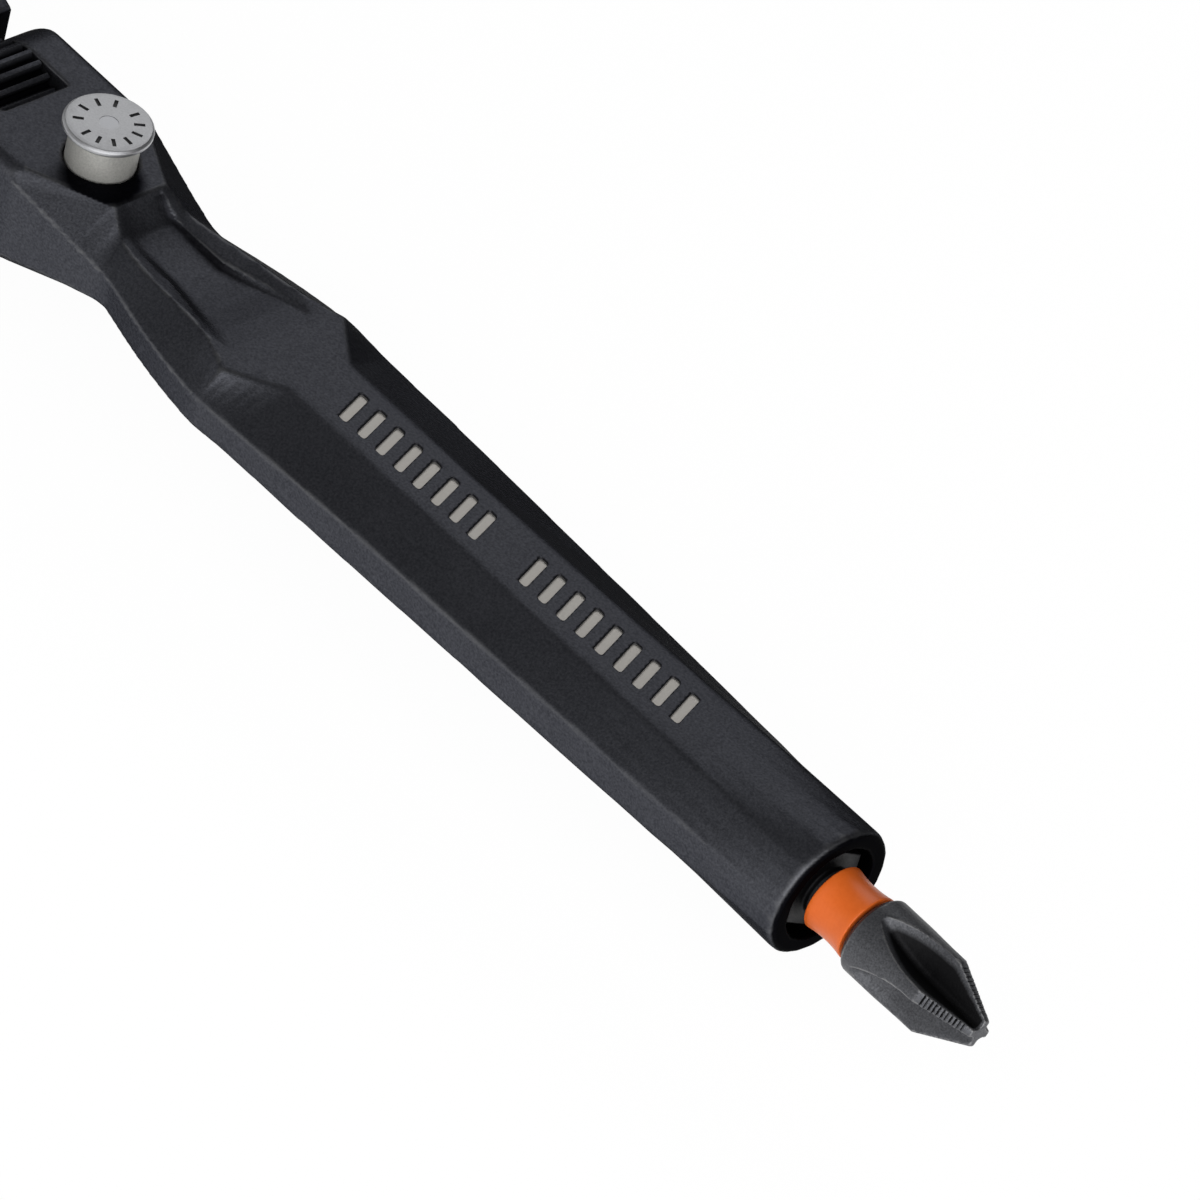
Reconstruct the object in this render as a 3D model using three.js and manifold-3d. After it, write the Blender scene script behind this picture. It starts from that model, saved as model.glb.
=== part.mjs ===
// Mini ratchet with a locking flex head and a driver bit stored in its base.
// Millimetres, +Z up. The origin is the middle of the square drive's end face. The handle runs along +X.
import * as THREE from 'three';
import { mergeVertices } from 'three/addons/utils/BufferGeometryUtils.js';
import Module from 'manifold-3d';

const wasm = await Module();
wasm.setup();

// Head
const HEAD_RIM = 1.8; // metal round the cover
const HEAD_HALF_HEIGHT = 4.3;
const HEAD_EDGE = 0.4;
const HEAD_REACH = 19.0; // drive axis to pivot axis
const HEAD_FLARE = 0.31; // how fast the head widens from its rear face, to each side
const SHOULDER_GAP = 0.6; // between the ears' round ends and the head's rear face
const SHOULDER_HALF = 5.35;
const TOP_WALL = 1.6;

// Tang and its lock teeth
const TANG_RADIUS = 4.7;
const TANG_HALF = 2.95;
const TANG_WEB_HALF = 3.3;
const LOCK_TEETH = 24;
const LOCK_TOOTH_DEPTH = 0.6;
const LOCK_TOOTH_FLAT = 0.3; // share of the pitch on a tooth's crest and in its root
const PIVOT_PIN_RADIUS = 2.0;

// Ratchet gear and square drive
const GEAR_TEETH = 72;
const GEAR_TIP_RADIUS = 6.4;
const GEAR_TOOTH_DEPTH = 0.38;
const GEAR_TOOTH_FLAT = 0.16; // share of the pitch on a tooth's crest and in its root
const JOURNAL_RADIUS = 5.0;
const BOSS_RADIUS = 3.4;
const SQUARE_DRIVE = 6.35;
const SQUARE_EDGE = 0.5;
const SQUARE_LENGTH = 7.9;
const BALL_RADIUS = 1.0;
const BALL_PROUD = 0.45;
const BALL_FROM_TIP = 3.6;
const DETENT_WIRE = 0.25;
const DETENT_TURNS = 3;

// Pawl, selector and cover
const PAWL_PIN_OFFSET = 1.15; // gear's tips to the pawl pin's axis
const PAWL_PIN_RADIUS = 0.55;
const PAWL_THICKNESS = 2.3; // gear's tips to the pawl's back
const PAWL_SPREAD = 36; // degrees to each side
const PAWL_END_THICKNESS = 2.0;
const PAWL_ROCK = 7; // degrees between its two engaged positions
const SELECTOR_OFFSET = 4.2; // gear's tips to the selector's axis
const SELECTOR_HUB_RADIUS = 1.6;
const SELECTOR_SWING = 50; // degrees between its two positions
const LEVER_LENGTH = 7.0;
const LEVER_THICKNESS = 1.8;
const LEVER_RADIUS = 2.7;
const LEVER_TIP_RADIUS = 1.5;
const CLIP_RADIUS = 2.05;
const CLIP_THICKNESS = 0.5;
const CLIP_MOUTH = 80; // degrees left open, to push it on
const PUSHER_RADIUS = 0.5;
const PUSHER_BITE = 0.1; // how far the pusher's tip reaches into the pawl's groove
const PUSHER_LENGTH = 1.3;
const PUSHER_WIRE = 0.18;
const PUSHER_TURNS = 2.5;
const HUB_WALL = 0.32; // metal left behind the pusher's spring
const CLIP_BITE = 0.35; // depth of the clip's groove in the hub
const COVER_MARGIN = 1.4; // screw circle to the cover's edge
const COVER_THICKNESS = 1.3;
const COVER_NECK_REACH = 2.1; // selector's axis to the end of the cover's neck
const COVER_NECK_HALF = 3.9;
const SCREW_OFFSET = 1.9; // gear's tips to the screws' axes
const SCREW_ANGLES = [70, 180, 290];
const SCREW_HEAD_RADIUS = 1.5;
const SCREW_SHANK_RADIUS = 0.75;
const SCREW_LENGTH = 3.4;
const SCREW_KEY_RADIUS = 0.75; // corners of the hexagon for the key

// Handle, with every station measured from the pivot axis towards the base
const EAR_RADIUS = 4.5;
const YOKE_HALF_WIDTH = 6.85;
const YOKE_EDGE = 1.0;
const EAR_CORNER = 3.3;
const SLOT_SIDE_GAP = 0.25;
const SLOT_RADIUS = 6.15;
const FLAT_END = 10.3; // where the yoke's flat top starts to narrow
const BUTTON_STATION = 12.0;
const CREST_STATION = 16.7; // top of the wall of the thumb hollow
const CREST_HALF = 2.53;
const CREST_SIDE_HEIGHT = 1.95; // the side edges lie this far over and under the middle plane
const WAIST_STATION = 20.3;
const WAIST_HALF = 5.43;
const WAIST_SIDE_HEIGHT = 1.2;
const WAIST_SOFTNESS = 0.3;
const FLARE_BULGE = 0.38; // how far the neck's flare to the grip swells over a straight line
const RIM_END_HALF = 4.0; // half width between the thumb hollow's rims where they run out
const RIM_INSET = 0.6; // from the crest's ends to the rims
const NECK_DIP = 2.56; // half height between the thumb hollow's rims where the neck is thinnest
const HOLLOW_WALL = 0.12; // width of the thumb hollow's side walls where they are widest
const HOLLOW_DEPTH = 0.55;
const HOLLOW_SKIN = 0.35; // least metal between the thumb hollow and the spring's bore
const SHELF_LEAN = 0.4; // how much higher the shelves stand at their outer edges
const SHOULDER_STATION = 33.6;
const GRIP_SHOULDER_HALF = 7.96;
const GRIP_SHOULDER_BEVEL = 1.9;
const GRIP_TOP_AT_SHOULDER = 3.32; // half height of the grip at its shoulder
const GRIP_TOP_HALF = 2.8; // half width of the top strip along the grip
const STRIP_BEND = 4.3; // shoulder to the place where the top strip has narrowed
const GRIP_SIDE_HEIGHT = 1.5;
const BASE_STATION = 94.8;
const BASE_RADIUS = 5.5;
const BASE_TOP = 0.645; // corners of the grip's section where it turns round, as shares of the base's radius
const BASE_HEIGHT = 0.764;
const BASE_SIDE = 1.06;
const EVEN_STRIP = 0.27; // share of the grip along which the top strip keeps its width
const HEIGHT_CURVE = 1.6; // above 1, the grip thickens late
const SIDE_CURVE = 0.8; // below 1, the grip narrows early
const BASE_EDGE = 0.5;

// Release button and lock plunger
const BUTTON_STEM_RADIUS = 2.75;
const BUTTON_FLANGE_RADIUS = 3.48;
const STEM_BRIDGE = 0.5; // metal of the stem under the plunger's shank
const BUTTON_FLANGE = 0.62;
const BUTTON_HEIGHT = 3.45; // flange top above the yoke's flat
const PRESS_TRAVEL = 1.3;
const LOCK_TRAVEL = 0.9;
const PLUNGER_HALF_WIDTH = 2.2;
const PLUNGER_HALF_HEIGHT = 2.2;
const SHANK_HALF_WIDTH = 1.0;
const SHANK_HALF_HEIGHT = 1.3;
const SHANK_UNDER_NOTCH = 0.6; // metal left under the notch for the button's wedge
const SHANK_TAIL = 4.2; // button's axis to the shank's spring end
const LOCK_SPRING_LENGTH = 5.1;
const LOCK_SPRING_RADIUS = 1.2;
const LOCK_SPRING_WIRE = 0.5;
const LOCK_SPRING_TURNS = 5;
const BORE_FLOOR_WALL = 1.0; // metal left under the button's bore

// Driver bit and its socket
const BIT_HEX = 6.35;
const BIT_LENGTH = 25.4;
const BIT_PROUD = 15.6; // how far the stored bit stands out of the base
const BIT_BODY_START = 4.65;
const BIT_COLLAR = 0.4; // chamfer on the body's rear edge
const BIT_TAPER_START = 11.4;
const BIT_TIP_RADIUS = 1.1;
const BIT_CORE_RADIUS = 2.0;
const FLUTE_START = 5.3;
const FLUTE_KNEE = 11.0; // where a flute's bottom turns along the axis
const FLUTE_KNEE_RADIUS = 0.95; // axis to the bottom of a flute there
const FLUTE_FLOOR_HALF = 0.2; // half width of a flute's bottom
const FLUTE_STEPS = 7; // steps along a flute's curved run-in
const FLUTE_TURN = 17; // degrees from the top to the first flute, as the bit happens to be stored
const FLUTE_TIP_RADIUS = 0.6; // axis to the bottom of a flute at the tip
const HEX_RECESS = 0.7; // from the base's end face in to the end of the bit's hexagon
const BAND_START = 0.25;
const BAND_GAP = 0.3; // band to the bit's body
const BAND_END_RADIUS = 2.75;
const BAND_WAIST_RADIUS = 2.55;
const MOUTH_RADIUS = 4.0;
const MOUTH_DEPTH = 2.2;
const MAGNET_RADIUS = 3.0;
const MAGNET_THICKNESS = 2.0;

// Clearances
const RUN = 0.1; // between pieces that turn or slide on each other
const PIN_FIT = 0.05; // between a pin and the hole that holds it
const SEAT = 0.15; // between a piece and the seat that it rests on
const TOOTH_GAP = 0.1; // between meshed teeth
const GEAR_GAP = 0.3; // over and under the gear and the pawl
const SOCKET_GAP = 0.1; // round the bit's hexagon
const SIDE_GAP = 0.35; // round the gear's tips
const PAWL_ROOM = 0.8; // beside the pawl's ends, for its rocking
const PAWL_BACK_ROOM = 0.7; // behind the pawl
const LAP = 0.5; // how far joined solids run into each other

// Values that follow from the sizes
const DRIVE_REACH = HEAD_HALF_HEIGHT + SQUARE_LENGTH;
const BEYOND = HEAD_REACH; // how far cutting tools run past the piece
const PAWL_PIN_X = GEAR_TIP_RADIUS + PAWL_PIN_OFFSET;
const PAWL_BACK_X = GEAR_TIP_RADIUS + PAWL_THICKNESS;
const SELECTOR_X = GEAR_TIP_RADIUS + SELECTOR_OFFSET;
const PUSHER_REACH = SELECTOR_X - PAWL_BACK_X + PUSHER_BITE; // hub axis to the pusher's tip
const SCREW_CIRCLE = GEAR_TIP_RADIUS + SCREW_OFFSET;
const COVER_RADIUS = SCREW_CIRCLE + COVER_MARGIN;
const COVER_NECK_END = SELECTOR_X + COVER_NECK_REACH;
const HEAD_RADIUS = COVER_RADIUS + HEAD_RIM;
const YOKE_HALF_HEIGHT = EAR_RADIUS;
const SLOT_HALF = TANG_HALF + SLOT_SIDE_GAP;
const HEAD_REAR_X = HEAD_REACH - EAR_RADIUS - SHOULDER_GAP;
const CAVITY_TOP = HEAD_HALF_HEIGHT - TOP_WALL;
const COVER_TOP = COVER_THICKNESS - HEAD_HALF_HEIGHT;
const CLIP_TOP = CAVITY_TOP - RUN;
const CLIP_BOTTOM = CLIP_TOP - CLIP_THICKNESS;
const GEAR_TOP = CAVITY_TOP - GEAR_GAP;
const GEAR_BOTTOM = COVER_TOP + GEAR_GAP;
const BASE_X = HEAD_REACH + BASE_STATION;
const BUTTON_X = HEAD_REACH + BUTTON_STATION;
const STEM_BORE_RADIUS = BUTTON_STEM_RADIUS + RUN;
const STEM_BOTTOM = -SHANK_HALF_HEIGHT - RUN - STEM_BRIDGE;
const STEM_BORE_FLOOR = BORE_FLOOR_WALL - YOKE_HALF_HEIGHT;
const PLUNGER_BACK = BUTTON_STATION - STEM_BORE_RADIUS - LOCK_TRAVEL - SEAT;
const SHANK_END = BUTTON_STATION + SHANK_TAIL;
const SHANK_BORE_RADIUS = Math.hypot(SHANK_HALF_WIDTH, SHANK_HALF_HEIGHT) + RUN;
const SPRING_START = SHANK_END + RUN;
const SPRING_END = SPRING_START + LOCK_SPRING_LENGTH;
const SOCKET_HEX = BIT_HEX + 2 * SOCKET_GAP;
const SOCKET_DEPTH = BIT_LENGTH - BIT_PROUD + SEAT;
const BAND_LENGTH = BIT_BODY_START - BIT_COLLAR - BAND_GAP - BAND_START;
const HEX_CORNER = 1 / Math.cos(Math.PI / 6); // corner radius over half the width across flats

const ROUND = 40; // sides of a main round piece
const SMALL_ROUND = 20; // sides of a small round piece
const radians = THREE.MathUtils.degToRad;

// Geometry helpers

// A closed surface with shared corners and its faces pointing out, ready to join, cut or show.
function closed(geometry) {
  const bare = new THREE.BufferGeometry();
  bare.setAttribute('position', geometry.getAttribute('position'));
  if (geometry.index) bare.setIndex(geometry.index);
  const merged = mergeVertices(bare, 1e-4);
  const position = merged.getAttribute('position');
  const corners = [0, 1, 2].map(() => new THREE.Vector3());
  const kept = [];
  let volume = 0;
  for (let i = 0; i < merged.index.count; i += 3) {
    const [a, b, c] = [0, 1, 2].map((k) => merged.index.getX(i + k));
    if (a === b || b === c || c === a) continue;
    [a, b, c].forEach((corner, k) => corners[k].fromBufferAttribute(position, corner));
    volume += corners[0].dot(corners[1].clone().cross(corners[2]));
    kept.push(a, b, c);
  }
  if (volume < 0) kept.reverse();
  merged.setIndex(kept);
  return merged;
}

function solid(geometry) {
  const shape = closed(geometry);
  const vertProperties = new Float32Array(shape.getAttribute('position').array);
  const triVerts = new Uint32Array(shape.index.array);
  return new wasm.Manifold(new wasm.Mesh({ numProp: 3, vertProperties, triVerts }));
}

function surface(manifold) {
  const mesh = manifold.getMesh();
  const geometry = new THREE.BufferGeometry();
  geometry.setAttribute('position', new THREE.BufferAttribute(new Float32Array(mesh.vertProperties), 3));
  geometry.setIndex(new THREE.BufferAttribute(new Uint32Array(mesh.triVerts), 1));
  return geometry;
}

const join = (...solids) => solids.reduce((whole, piece) => whole.add(piece));
const cut = (whole, ...tools) => tools.reduce((left, tool) => left.subtract(tool), whole);

function box(x0, x1, y0, y1, z0, z1) {
  const geometry = new THREE.BoxGeometry(x1 - x0, y1 - y0, z1 - z0);
  return geometry.translate((x0 + x1) / 2, (y0 + y1) / 2, (z0 + z1) / 2);
}

// Round bars along each axis. The sides start at the same angle, so that a bar and its bore run parallel.
function barZ(radius, z0, z1, x = 0, y = 0, sides = SMALL_ROUND) {
  const geometry = new THREE.CylinderGeometry(radius, radius, z1 - z0, sides).rotateX(Math.PI / 2);
  return geometry.translate(x, y, (z0 + z1) / 2);
}

function barX(radius, x0, x1, sides = SMALL_ROUND) {
  const geometry = new THREE.CylinderGeometry(radius, radius, x1 - x0, sides).rotateZ(Math.PI / 2);
  return geometry.translate((x0 + x1) / 2, 0, 0);
}

function barY(radius, y0, y1, x = 0, z = 0, sides = SMALL_ROUND) {
  const geometry = new THREE.CylinderGeometry(radius, radius, y1 - y0, sides);
  return geometry.translate(x, (y0 + y1) / 2, z);
}

function plate(shape, z0, z1, curveSegments = 12) {
  const options = { depth: z1 - z0, bevelEnabled: false, curveSegments };
  return new THREE.ExtrudeGeometry(shape, options).translate(0, 0, z0);
}

// A shape drawn in x and z, as wide as given to each side of the middle plane.
function sidePlate(shape, half) {
  return plate(shape, -half, half).rotateX(Math.PI / 2);
}

// Turned pieces, from [distance along the axis, radius] points that start and end on the axis.
function turnedX(points, sides = ROUND) {
  const profile = points.map(([along, radius]) => new THREE.Vector2(radius, along));
  return new THREE.LatheGeometry(profile, sides).rotateZ(-Math.PI / 2);
}

function turnedZ(points, sides = ROUND) {
  const profile = points.map(([along, radius]) => new THREE.Vector2(radius, along));
  return new THREE.LatheGeometry(profile, sides).rotateX(Math.PI / 2);
}

// A skin through loops of equally many points, closed by a flat fan at each end. Between two loops the points
// are taken in facets of so many steps each, and each facet is folded along the diagonal nearer to the axis.
function loft(loops, facetsAfter = () => loops[0].map(() => 1)) {
  const count = loops[0].length;
  const points = loops.flat();
  const index = [];
  const fromAxis = (a, b) => Math.hypot(points[a].y + points[b].y, points[a].z + points[b].z);
  for (let ring = 0; ring + 1 < loops.length; ring += 1) {
    let first = 0;
    facetsAfter(ring).forEach((steps) => {
      const near = Array.from({ length: steps + 1 }, (_, i) => ring * count + ((first + i) % count));
      const far = near.map((corner) => corner + count);
      const forward = fromAxis(near[0], far[steps]) < fromAxis(near[steps], far[0]);
      for (let i = 0; i < steps; i += 1) {
        index.push(near[i], near[i + 1], forward ? far[steps] : far[0]);
        index.push(forward ? near[0] : near[steps], far[i + 1], far[i]);
      }
      first += steps;
    });
  }
  [0, loops.length - 1].forEach((ring) => {
    const middle = new THREE.Vector3();
    loops[ring].forEach((point) => middle.addScaledVector(point, 1 / count));
    const centre = points.push(middle) - 1;
    for (let i = 0; i < count; i += 1) {
      const edge = [ring * count + i, ring * count + ((i + 1) % count)];
      index.push(centre, ...(ring === 0 ? edge.reverse() : edge));
    }
  });
  return new THREE.BufferGeometry().setFromPoints(points).setIndex(index);
}

function regularPolygon(sides, radius, start) {
  const corner = (i) => start + (i * 2 * Math.PI) / sides;
  return new THREE.Shape(Array.from({ length: sides }, (_, i) =>
    new THREE.Vector2(radius * Math.cos(corner(i)), radius * Math.sin(corner(i)))));
}

// A hexagonal bar along X with two corners in the vertical plane.
function hexBarX(acrossFlats, x0, x1) {
  const hexagon = regularPolygon(6, (acrossFlats / 2) * HEX_CORNER, Math.PI / 6);
  return plate(hexagon, x0, x1).rotateX(Math.PI / 2).rotateZ(Math.PI / 2);
}

// A coil spring along Z, one unbroken wire, whose least gap to itself is measured and printed.
function coil(name, meanRadius, wire, turns, length) {
  const rise = length - wire;
  class Helix extends THREE.Curve {
    getPoint(t, target = new THREE.Vector3()) {
      const angle = t * turns * 2 * Math.PI;
      return target.set(meanRadius * Math.cos(angle), meanRadius * Math.sin(angle), wire / 2 + t * rise);
    }
  }
  const steps = 10 * turns;
  const route = new Helix();
  const points = Array.from({ length: steps + 1 }, (_, i) => route.getPoint(i / steps));
  let least = Infinity;
  points.forEach((point, i) => points.slice(i + 6).forEach((other) => {
    least = Math.min(least, point.distanceTo(other) - wire);
  }));
  console.log(`${name}: least gap between turns ${least.toFixed(2)} mm`);
  const section = regularPolygon(6, wire / 2, 0);
  return new THREE.ExtrudeGeometry(section, { steps, bevelEnabled: false, extrudePath: route });
}

// A gear or lock outline: each tooth has a flat crest and a flat root, given as a share of the pitch.
function toothedShape(teeth, tip, depth, flat) {
  const pitch = (2 * Math.PI) / teeth;
  const corners = [[-flat / 2, tip], [flat / 2, tip],
    [(1 - flat) / 2, tip - depth], [(1 + flat) / 2, tip - depth]];
  const points = [];
  for (let tooth = 0; tooth < teeth; tooth += 1) {
    corners.forEach(([share, radius]) => {
      const angle = (tooth + share) * pitch;
      points.push(new THREE.Vector2(radius * Math.cos(angle), radius * Math.sin(angle)));
    });
  }
  return new THREE.Shape(points);
}

// The lock's teeth round the pivot axis. The same outline, grown by the tooth gap, cuts the plunger.
function lockTeeth(growth, half) {
  const outline = toothedShape(LOCK_TEETH, TANG_RADIUS + growth, LOCK_TOOTH_DEPTH, LOCK_TOOTH_FLAT);
  return sidePlate(outline, half).translate(HEAD_REACH, 0, 0);
}

function ratchetTeeth(growth, z0, z1) {
  const outline = toothedShape(GEAR_TEETH, GEAR_TIP_RADIUS + growth, GEAR_TOOTH_DEPTH, GEAR_TOOTH_FLAT);
  return plate(outline, z0, z1);
}

// Handle

// Steps along the sides of the handle's section: across the top, down a slope, down a side, and so on round.
const SLOPE_STEPS = 3;
const SIDE_STEPS = 2;
const HALF_ROUND = [1, 1, 1, 1, 1, 1, SLOPE_STEPS, SIDE_STEPS, SLOPE_STEPS];
const FACETS = [...HALF_ROUND, ...HALF_ROUND];

const between = (a, b, share) => a + (b - a) * share;

// One loop of the handle's skin: an eight-sided section whose top and bottom may be hollowed between two
// rims. A soft one has round slopes. Roundness 1 turns the section into the circle of the base.
function handleLoop({
  station, top, height, side, sideHeight, rim = 0.7 * top, rimHeight = height, hollow = 0.35 * top,
  floor = height, roundness = 0, soft = false,
}) {
  const upper = [[-top, height], [-rim, rimHeight], [-hollow, floor], [0, floor], [hollow, floor],
    [rim, rimHeight], [top, height], [side, sideHeight], [side, -sideHeight]];
  const corners = [...upper, ...upper.map(([y, z]) => [-y, -z])];
  const loop = [];
  corners.forEach(([y0, z0], i) => {
    const [y1, z1] = corners[(i + 1) % corners.length];
    const steps = FACETS[i];
    for (let step = 0; step < steps; step += 1) {
      const flat = new THREE.Vector2(between(y0, y1, step / steps), between(z0, z1, step / steps));
      if (soft && steps === SLOPE_STEPS) {
        const centre = new THREE.Vector2(Math.sign(y0) * top, Math.sign(z0) * sideHeight);
        const arm = flat.clone().sub(centre);
        const stretch = 1 / Math.hypot(arm.x / (side - top), arm.y / (height - sideHeight));
        flat.copy(centre).addScaledVector(arm, stretch);
      }
      const point = flat.clone().lerp(flat.clone().setLength(BASE_RADIUS), roundness);
      loop.push(new THREE.Vector3(HEAD_REACH + station, point.x, point.y));
    }
  });
  return loop;
}

// The neck behind the button, by shares of the way from the crest to the grip's shoulder. It dips behind the
// crest. A shelf that leans inwards comes down from each end of the crest, and the thumb hollow between their
// rims runs out on the grip's top.
function neckSections(crest, shoulder) {
  const length = SHOULDER_STATION - CREST_STATION;
  const waistShare = (WAIST_STATION - CREST_STATION) / length;
  const waist = WAIST_HALF - WAIST_SOFTNESS / 2;
  const sideAt = (share) => {
    const narrowing = between(crest.side, waist, share / waistShare);
    const flared = (share - waistShare) / (1 - waistShare);
    const widening = between(waist, shoulder.side, flared) + FLARE_BULGE * 4 * flared * (1 - flared);
    return (narrowing + widening + Math.hypot(narrowing - widening, WAIST_SOFTNESS)) / 2;
  };
  return [
    { share: 0.02, shelf: 0.034, lean: 0, fall: 0.155, rise: 0, rim: 0, wall: 0.2, depth: 0.25 },
    { share: 0.055, shelf: 0.1, lean: 0.1, fall: 0.39, rise: 0, rim: 0, wall: 0.45, depth: 0.55 },
    { share: 0.09, shelf: 0.153, lean: 0.25, fall: 0.67, rise: 0, rim: 0.06, wall: 0.7, depth: 0.6 },
    { share: 0.115, shelf: 0.19, lean: 0.35, fall: 0.81, rise: 0, rim: 0.115, wall: 0.85, depth: 0.6 },
    { share: 0.17, shelf: 0.252, lean: 0.65, fall: 0.93, rise: 0, rim: 0.15, wall: 1, depth: 0.5 },
    { share: 0.235, shelf: 0.31, lean: 0.85, fall: 0.98, rise: 0, rim: 0.165, wall: 1, depth: 0.6 },
    { share: 0.325, shelf: 0.375, lean: 0.9, fall: 1, rise: 0.07, rim: 0.185, wall: 1, depth: 0.85 },
    { share: 0.43, shelf: 0.44, lean: 0.95, fall: 1, rise: 0.18, rim: 0.21, wall: 0.9, depth: 1.1 },
    { share: 0.55, shelf: 0.487, lean: 1, fall: 1, rise: 0.37, rim: 0.43, wall: 0.7, depth: 1 },
    { share: 0.67, shelf: 0.535, lean: 0.95, fall: 1, rise: 0.58, rim: 0.66, wall: 0.5, depth: 0.75 },
    { share: 0.8, shelf: 0.62, lean: 0.65, fall: 1, rise: 0.86, rim: 0.855, wall: 0.35, depth: 0.4 },
    { share: 0.92, shelf: 0.815, lean: 0.2, fall: 1, rise: 0.98, rim: 0.975, wall: 0.15, depth: 0.12 },
  ].map(({ share, shelf, lean, fall, rise, rim, wall, depth }) => {
    const dipped = between(YOKE_HALF_HEIGHT, NECK_DIP, fall);
    const rimHeight = between(dipped, GRIP_TOP_AT_SHOULDER, rise);
    const rimHalf = between(crest.rim, RIM_END_HALF, rim);
    return {
      station: CREST_STATION + share * length, side: sideAt(share),
      top: between(CREST_HALF, shoulder.top, shelf), height: rimHeight + lean * SHELF_LEAN,
      sideHeight: between(crest.sideHeight, WAIST_SIDE_HEIGHT, Math.min(1, share / waistShare)),
      rim: rimHalf, rimHeight, hollow: rimHalf - wall * HOLLOW_WALL,
      floor: Math.max(rimHeight - depth * HOLLOW_DEPTH, SHANK_BORE_RADIUS + HOLLOW_SKIN),
    };
  });
}

function handleSkin() {
  const yoke = {
    top: YOKE_HALF_WIDTH - YOKE_EDGE, height: YOKE_HALF_HEIGHT,
    side: YOKE_HALF_WIDTH, sideHeight: YOKE_HALF_HEIGHT - YOKE_EDGE,
  };
  const earEnd = -EAR_RADIUS - SHOULDER_GAP / 2;
  const ears = [0, 30, 60, 90].map((angle) => {
    const drop = EAR_CORNER * (1 - Math.sin(radians(angle)));
    const station = earEnd + EAR_CORNER * (1 - Math.cos(radians(angle)));
    return { ...yoke, station, top: yoke.top - drop, side: yoke.side - drop, soft: true };
  });
  const crest = {
    station: CREST_STATION, top: CREST_HALF, height: YOKE_HALF_HEIGHT,
    rim: CREST_HALF - RIM_INSET, hollow: CREST_HALF - 1.2 * RIM_INSET,
    side: between(YOKE_HALF_WIDTH, WAIST_HALF, 0.72), sideHeight: CREST_SIDE_HEIGHT,
  };
  const shoulder = {
    station: SHOULDER_STATION, top: GRIP_SHOULDER_HALF - GRIP_SHOULDER_BEVEL, height: GRIP_TOP_AT_SHOULDER,
    side: GRIP_SHOULDER_HALF, sideHeight: WAIST_SIDE_HEIGHT,
  };
  const baseTop = BASE_TOP * BASE_RADIUS;
  const baseHeight = BASE_HEIGHT * BASE_RADIUS;
  const baseSide = BASE_SIDE * BASE_RADIUS;
  const gripAt = (share, roundness) => ({
    station: between(SHOULDER_STATION, BASE_STATION, share),
    top: between(GRIP_TOP_HALF, baseTop, Math.max(0, (share - EVEN_STRIP) / (1 - EVEN_STRIP))),
    height: between(GRIP_TOP_AT_SHOULDER, baseHeight, share ** HEIGHT_CURVE),
    side: between(GRIP_SHOULDER_HALF, baseSide, share ** SIDE_CURVE),
    sideHeight: between(WAIST_SIDE_HEIGHT, GRIP_SIDE_HEIGHT, Math.min(1, share / EVEN_STRIP)),
    roundness,
  });
  const bendAt = (share) => ({
    ...gripAt((share * STRIP_BEND) / (BASE_STATION - SHOULDER_STATION), 0),
    top: between(shoulder.top, GRIP_TOP_HALF, share),
  });
  const rim = gripAt(1 - BASE_EDGE / (BASE_STATION - SHOULDER_STATION), 0.9);
  const faceted = [
    { ...yoke, station: FLAT_END }, crest, ...neckSections(crest, shoulder), shoulder,
    ...[0.2, 0.4, 0.6, 0.8, 1].map(bendAt), gripAt(EVEN_STRIP, 0), gripAt(0.51, 0),
  ];
  const rounded = [gripAt(0.66, 0.04), gripAt(0.8, 0.14), gripAt(0.9, 0.4), gripAt(0.95, 0.65), rim];
  const softEnd = { ...yoke, station: FLAT_END - YOKE_EDGE / 2, soft: true };
  const sections = [...ears, softEnd, ...faceted, ...rounded];
  const loops = sections.map(handleLoop);
  const edge = loops[loops.length - 1];
  [30, 60, 90].forEach((angle) => {
    const x = BASE_X - BASE_EDGE * (1 - Math.sin(radians(angle)));
    const factor = 1 - (BASE_EDGE / BASE_RADIUS) * (1 - Math.cos(radians(angle)));
    loops.push(edge.map((point) => new THREE.Vector3(x, point.y * factor, point.z * factor)));
  });
  const firstFaceted = sections.length - rounded.length - faceted.length;
  const isFaceted = (ring) => ring >= firstFaceted && ring + 1 < firstFaceted + faceted.length;
  return solid(loft(loops, (ring) => (isFaceted(ring) ? FACETS : edge.map(() => 1))));
}

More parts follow.
